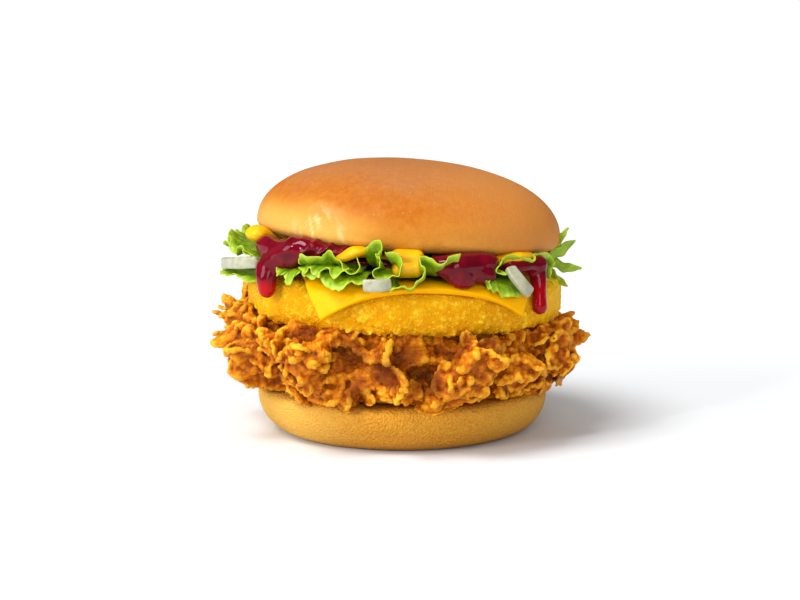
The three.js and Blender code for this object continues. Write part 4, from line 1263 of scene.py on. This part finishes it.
# %% Leaf rims
LEAVES = {
    "lettuce_left": dict(
        root=(-200, -148.5), share=0.34,
        rim=[
            [-202, 57, 69, 10], [-194, 60, 72.5, 50], [-186, 60.5, 69.5, 10], [-178, 62.5, 72, 50],
            [-171, 62, 68, 10], [-166, 65, 70, 40], [-161, 62.5, 66.4, -10], [-155, 63, 70, 50],
            [-150.5, 59.5, 66.6, 10], [-147.5, 58, 66, 0],
        ],
        fold=[
            [-190, 57, 67, 10], [-184, 60.5, 72, 40], [-178, 61.5, 67, -20], [-173.5, 63, 72.6, 50],
            [-169, 63, 67.6, -10], [-165.5, 63.8, 71.4, 40], [-161.5, 63, 65.6, -30],
            [-157, 62.4, 69.4, 30], [-152, 60.5, 66, 0],
        ],
    ),
    "lettuce_left_low": dict(
        root=(-176, -147.5), share=0.1,
        rim=[
            [-178, 62, 61, 0], [-171, 66, 59.2, -10], [-166, 67, 58.4, -15], [-161, 66, 58.2, -10],
            [-156, 65, 58.8, -5], [-151, 63.5, 58.2, -10], [-147.5, 61, 58.4, -10],
        ],
    ),
    "lettuce_front_left": dict(
        root=(-146, -126.5), share=0.12,
        rim=[
            [-143.5, 56, 64, -10], [-138.5, 58, 65.6, 40], [-135.4, 60.5, 63.8, -20],
            [-133.4, 62, 60.8, -60], [-132.4, 60, 63.6, -10], [-129.6, 62.5, 60.4, -60],
            [-126.9, 62.5, 59.9, -75], [-126.4, 60.5, 63.6, -20],
        ],
    ),
    "lettuce_front_top": dict(
        root=(-125.5, -104.5), share=0.38,
        fold=[
            [-125.2, 60, 66, -10], [-122.8, 62, 63.4, -60], [-120, 62.6, 65.6, -10],
            [-117, 62.8, 62.8, -60], [-114, 62.6, 65.6, 0], [-111, 63, 63, -60],
            [-108.6, 62.8, 65.4, -10], [-106.4, 62.6, 66.4, 20],
        ],
        rim=[
            [-125.9, 60, 66.6, 30], [-124.6, 60.6, 70, 75], [-120.5, 60.4, 69.8, 70],
            [-116.5, 60.6, 69.6, 60], [-114.1, 60, 71.3, 65], [-110.9, 60.4, 69.7, 50],
            [-109.3, 61.5, 66.7, 0], [-106.8, 62.5, 64.6, -10], [-104.2, 62.5, 65.2, 20],
            [-103.2, 61.5, 67.6, 50], [-104.6, 59.5, 69.8, 60],
        ],
    ),
    "lettuce_front_low": dict(
        root=(-125.5, -100), share=0.08,
        rim=[
            [-124.2, 60, 64.8, 0], [-121.8, 61.5, 62.8, -60], [-118.8, 62, 62.2, -70],
            [-117.6, 61, 63.8, -20], [-115.1, 62.8, 61, -60], [-112.5, 63.2, 59.4, -70],
            [-109.1, 63.6, 58.4, -75], [-107.4, 63.2, 60, -60], [-105.6, 62, 61.8, -30],
            [-103.2, 62.2, 61.2, -50], [-101.6, 61.8, 60.8, -50],
        ],
    ),
    "lettuce_scoop": dict(
        root=(-103.5, -89.5), share=0.38,
        rim=[
            [-103.3, 56, 72.2, 60], [-100.2, 57.5, 75.2, 80], [-97.4, 58.5, 75.6, 80],
            [-97.3, 59, 73.1, 60], [-98.8, 59, 71, 60], [-96.2, 60.5, 69.4, 40], [-96.9, 61, 67, 20],
            [-98.6, 61.5, 65.2, 0], [-96.9, 62.5, 64, -10], [-93.7, 63, 63.8, 0], [-91, 63, 64.6, 20],
            [-90.6, 61.5, 67.2, 50], [-91.8, 60, 69.9, 60], [-94.7, 57.5, 72.3, 70],
        ],
    ),
    "lettuce_ribbon": dict(
        root=(-93, -69), share=0.08,
        rim=[
            [-93.2, 64, 58.4, -60], [-92, 64, 60.6, 10], [-89.7, 63.5, 61.9, 45], [-87.4, 63.5, 61, 40],
            [-85.6, 62.8, 63.2, 50], [-83.4, 62.5, 65.2, 60], [-83.2, 61.5, 67.4, 60], [-84.1, 59, 70, 70],
            [-81, 60, 69.9, 70], [-78.8, 61.3, 68.4, 60], [-76.7, 62.3, 68.4, 50], [-75.1, 62.5, 70.2, 60],
            [-72, 63.3, 71, 60],
        ],
    ),
    "lettuce_right": dict(
        root=(-60, -22), share=0.34,
        rim=[
            [-54.9, 61.5, 62, -40], [-57.4, 60.5, 64.3, 10], [-55.6, 60, 67, 50], [-52.3, 58.5, 68.4, 60],
            [-48.7, 59, 68.7, 65], [-44.5, 60.5, 67.6, 50], [-41, 61, 66.5, 40], [-36.4, 59, 68, 70],
            [-31.4, 59.5, 67.8, 70], [-27.5, 60, 64.7, 40], [-29.2, 60.5, 62, 0], [-30.6, 61, 59.5, -30],
            [-27, 61, 55.6, -60],
        ],
    ),
    "lettuce_right_low": dict(
        root=(-63, -44), share=0.08,
        rim=[
            [-60, 60, 61.8, -10], [-62.2, 62.5, 59.2, -50], [-60.9, 63.2, 57.6, -70],
            [-58.6, 63, 57.9, -70], [-56.9, 63.4, 56, -75], [-53, 63.5, 55.2, -75],
            [-49.4, 63.3, 55.4, -75], [-46.6, 62.5, 57.6, -60],
        ],
    ),
    "lettuce_back_right": dict(
        root=(14, 74), share=0.25,
        rim=[
            [14, 58, 63, 20], [20, 61, 66, 50], [26, 59, 60, -40], [34, 61, 64.5, 40], [40, 60, 59.5, -50],
            [47, 61, 64, 50], [54, 60, 60, -40], [61, 61, 65.5, 50], [68, 59.5, 61, -30], [74, 58, 64, 10],
        ],
    ),
    "lettuce_back_left": dict(
        root=(80, 156), share=0.25,
        rim=[
            [80, 58, 64, 10], [87, 61, 67, 50], [95, 59.5, 61, -30], [103, 61, 66.5, 50],
            [111, 60, 61.5, -40], [119, 61.5, 67.5, 50], [127, 60, 62.5, -30], [135, 61, 68, 50],
            [144, 60, 63, -30], [151, 61, 68.5, 50], [156, 58.5, 66.5, 20],
        ],
    ),
}
print("leaves:", len(LEAVES))

# %% [markdown]
# The leaf is one surface: a flat ring sector between the jam and the cheese that bends out to its rim.
# Frills of two widths are added across it, and small tears along it, each stronger nearer to the rim.
# It could be a cloth simulation, but the rim has to pass through set places, which a formula does.

# %% Lettuce shape
LEAF_ROOT = 9
LEAF_FLAT_RADIUS = 44
LEAF_TURN = 6.5
LEAF_SPACING = 0.7
LEAF_THICKNESS = 0.55
LEAF_STEP = 0.4
LEAF_ROWS = 44
FRILL_HEIGHT = 1.35
TEAR_DEPTH = 0.6


def through(rows, share):
    """A smooth run through rows of numbers."""
    rows = np.asarray(rows, float)
    place = np.clip(share, 0, 1) * (len(rows) - 1)
    first = np.minimum(place.astype(int), len(rows) - 2)
    t = (place - first)[:, None]
    a, b, c, d = (rows[np.clip(first + k, 0, len(rows) - 1)] for k in (-1, 0, 1, 2))
    return b + 0.5 * t * (c - a + t * (2 * a - 5 * b + 4 * c - d + t * (3 * b - a - 3 * c + d)))


def rim_points(rim):
    """Places in millimetres from angles, distances from the axis and heights."""
    angle = np.radians(rim[:, 0])
    return np.stack([rim[:, 1] * np.cos(angle), rim[:, 1] * np.sin(angle), rim[:, 2]], axis=1)


def leaf_grid(leaf, seed):
    """The middle surface of a leaf: columns along its rim and rows from its root to its rim."""
    dense = np.linspace(0, 1, 600)
    lengths = np.linalg.norm(np.diff(rim_points(through(leaf["rim"], dense)), axis=0), axis=1)
    run = np.concatenate([[0], np.cumsum(lengths)])
    places = np.linspace(0, run[-1], int(run[-1] / LEAF_STEP))
    share = np.interp(places, run, dense)
    rim = through(leaf["rim"], share)
    edge = rim_points(rim)
    lean = np.radians(rim[:, 3])
    back = np.stack([0 * lean, LEAF_TURN * np.cos(lean), LEAF_TURN * np.sin(lean), 0 * lean], axis=1)
    turn = rim_points(rim - back)

    def flat(radius):
        angle = np.radians(mix(*leaf["root"], share)) + LEAF_SPACING / radius * (1 - 2 * share)
        x, y = radius * np.cos(angle), radius * np.sin(angle)
        return np.stack([x, y, mix(cheese_top(x, y), crown_under(x, y), leaf["share"])], axis=1)

    t = np.linspace(0, 1, LEAF_ROWS)[:, None, None]
    start = flat(LEAF_FLAT_RADIUS)
    loose = (1 - t) ** 2 * start + 2 * t * (1 - t) * turn + t * t * edge
    root = np.stack([flat(radius) for radius in np.linspace(LEAF_ROOT, LEAF_FLAT_RADIUS, 8)[:-1]])
    along_rim = np.broadcast_to(places, loose.shape[:2])
    depth = np.broadcast_to(t[:, :, 0] * 14, loose.shape[:2])
    spot = np.stack([along_rim.ravel(), depth.ravel() * 0.35, np.full(along_rim.size, seed * 9.0)], axis=1)
    ruffle = (noise(spot, 3.4, 40) + 0.5 * noise(spot, 1.6, 43)).reshape(along_rim.shape)
    along_only = spot * [1, 0, 1]
    tear = (noise(along_only, 2.4, 41) + 0.7 * noise(along_only, 1.1, 42)).reshape(along_rim.shape)
    normal = np.cross(np.gradient(loose, axis=1), np.gradient(loose, axis=0))
    normal /= np.linalg.norm(normal, axis=2, keepdims=True) + 1e-9
    outwards = np.gradient(loose, axis=0)
    outwards /= np.linalg.norm(outwards, axis=2, keepdims=True) + 1e-9
    free = smoothstep(t, 0.45, 1.0)
    tip = smoothstep(t, 0.7, 1.0)
    loose = (loose + normal * free * (FRILL_HEIGHT * ruffle)[..., None]
             + outwards * tip * (TEAR_DEPTH * tear)[..., None])
    middle = np.concatenate([root, loose])
    out = np.concatenate([np.zeros(len(root)), t.ravel()])
    return middle, np.repeat(out[:, None], len(places), axis=1)


def leaf_piece(name, leaf, seed):
    """A leaf, and its second fold where it has one, as one piece that is thinner at its rim."""
    rims = [leaf[part] for part in ("rim", "fold") if part in leaf]
    grids = [leaf_grid(dict(leaf, rim=rim), seed + 20 * i) for i, rim in enumerate(rims)]
    sheets = [sheet_mesh(middle, LEAF_THICKNESS * mix(1.3, 0.5, out)) for middle, out in grids]
    piece = mesh_object(name, *gathered(sheets))
    edge = [np.tile(smoothstep(out, 0.8, 1.0).ravel(), 2) for _, out in grids]
    store(piece, "edge", np.concatenate(edge))
    return piece


print("leaf rows:", LEAF_ROWS, "step along the rim in mm:", LEAF_STEP)

# %% [markdown]
# A leaf is deep green inside, yellow green where it is young, and palest on its thin rim. Some light
# passes through it, so it has a little subsurface, and its veins are fine relief in bump.

# %% Lettuce material
lettuce_leaf, tree, shader = new_material("lettuce_leaf", {
    "Roughness": 0.4, "Coat Weight": 0.1, "Coat Roughness": 0.25, "Specular IOR Level": 0.35,
    "Subsurface Weight": 0.2, "Subsurface Scale": 0.0015,
})
green = blend(tree, use(tree, mottle, Pitch=5), (0.115, 0.225, 0.002), (0.25, 0.40, 0.005))
green = blend(tree, kept(tree, "edge"), green, (0.37, 0.53, 0.02))
green = tint(tree, use(tree, mottle, Pitch=2.2, Low=0.5, High=0.75), 0.4, green, (0.46, 0.60, 0.06))
tree.links.new(green, shader.inputs["Base Color"])
bump(tree, shader, use(tree, grain, Pitch=1.8, Pits=0.7), 0.25)
for seed, (name, leaf) in enumerate(LEAVES.items()):
    serve(leaf_piece(f"{name}_leaf", leaf, seed), "lettuce", lettuce_leaf, name)

# %% [markdown]
# At the right a frizzy sprig sticks out: narrow lobed shreds that fan out from one stem. Each is a strip
# of leaf whose two edges have teeth and whose middle curls.

# %% Lettuce sprig
SPRIG_AT = np.array([49.5, -8, 62])
SPRIG_PALENESS = 0.35
SHREDS = [
    dict(tilt=52, length=16, twist=0.5, width=4.4),
    dict(tilt=26, length=15, twist=-0.4, width=6.2),
    dict(tilt=-8, length=15.5, twist=0.6, width=5.2),
    dict(tilt=-44, length=14, twist=-0.6, width=5.4),
]


def shred(tilt, length, twist, width):
    """A pointed, toothed strip that leans up by some degrees."""
    along, across = np.meshgrid(np.linspace(0, 1, 60), np.linspace(-0.5, 0.5, 13), indexing="ij")
    outline = 0.35 + 0.9 * along - 1.22 * along**3
    teeth = 1 + 0.26 * np.sin(along * 15 + np.sign(across) * 1.6) * smoothstep(along, 0.15, 0.4)
    half = across * width * outline * teeth
    curl = 1.4 * np.sin(along * 3 + twist * 4) + 0.35 * np.sin(along * 21) * np.abs(across) * 2
    x = along * length
    y = curl + twist * half
    z = half + 0.5 * curl
    lean = math.radians(tilt)
    turned_x = x * math.cos(lean) - z * math.sin(lean)
    turned_z = x * math.sin(lean) + z * math.cos(lean)
    return sheet_mesh(np.stack([turned_x, y, turned_z], axis=2) + SPRIG_AT, LEAF_THICKNESS)


sprig_points, sprig_faces = gathered([shred(**one) for one in SHREDS])
sprig = mesh_object("sprig_shreds", sprig_points, sprig_faces)
store(sprig, "edge", np.full(len(sprig_points), SPRIG_PALENESS))
serve(sprig, "lettuce", lettuce_leaf, "lettuce_sprig")

# %% [markdown]
# The floor is plain and pale, so that only the burger has colour. Its faint blue takes away the warmth
# that the food's own light throws on it.

# %% Floor material
FLOOR_COLOUR = (0.725, 0.74, 0.755, 1)

floor_paint, tree, shader = new_material("floor_paint", {"Roughness": 0.9, "Specular IOR Level": 0.1})
shader.inputs["Base Color"].default_value = FLOOR_COLOUR
floor.data.materials.append(floor_paint)
print("floor:", floor_paint.name)

# %% [markdown]
# The sizes of the imported model's box and of the dressed burger's box are printed side by side, in
# millimetres. A dressed piece may not outgrow the imported model by more than a few millimetres.

# %% Sizes
seen_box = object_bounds()
sizes = {"cad": [list(corner) for corner in cad_box], "visual": [list(corner) for corner in seen_box]}
for label, (low, high) in sizes.items():
    print(label, [round((h - l) / MM, 1) for l, h in zip(low, high)])
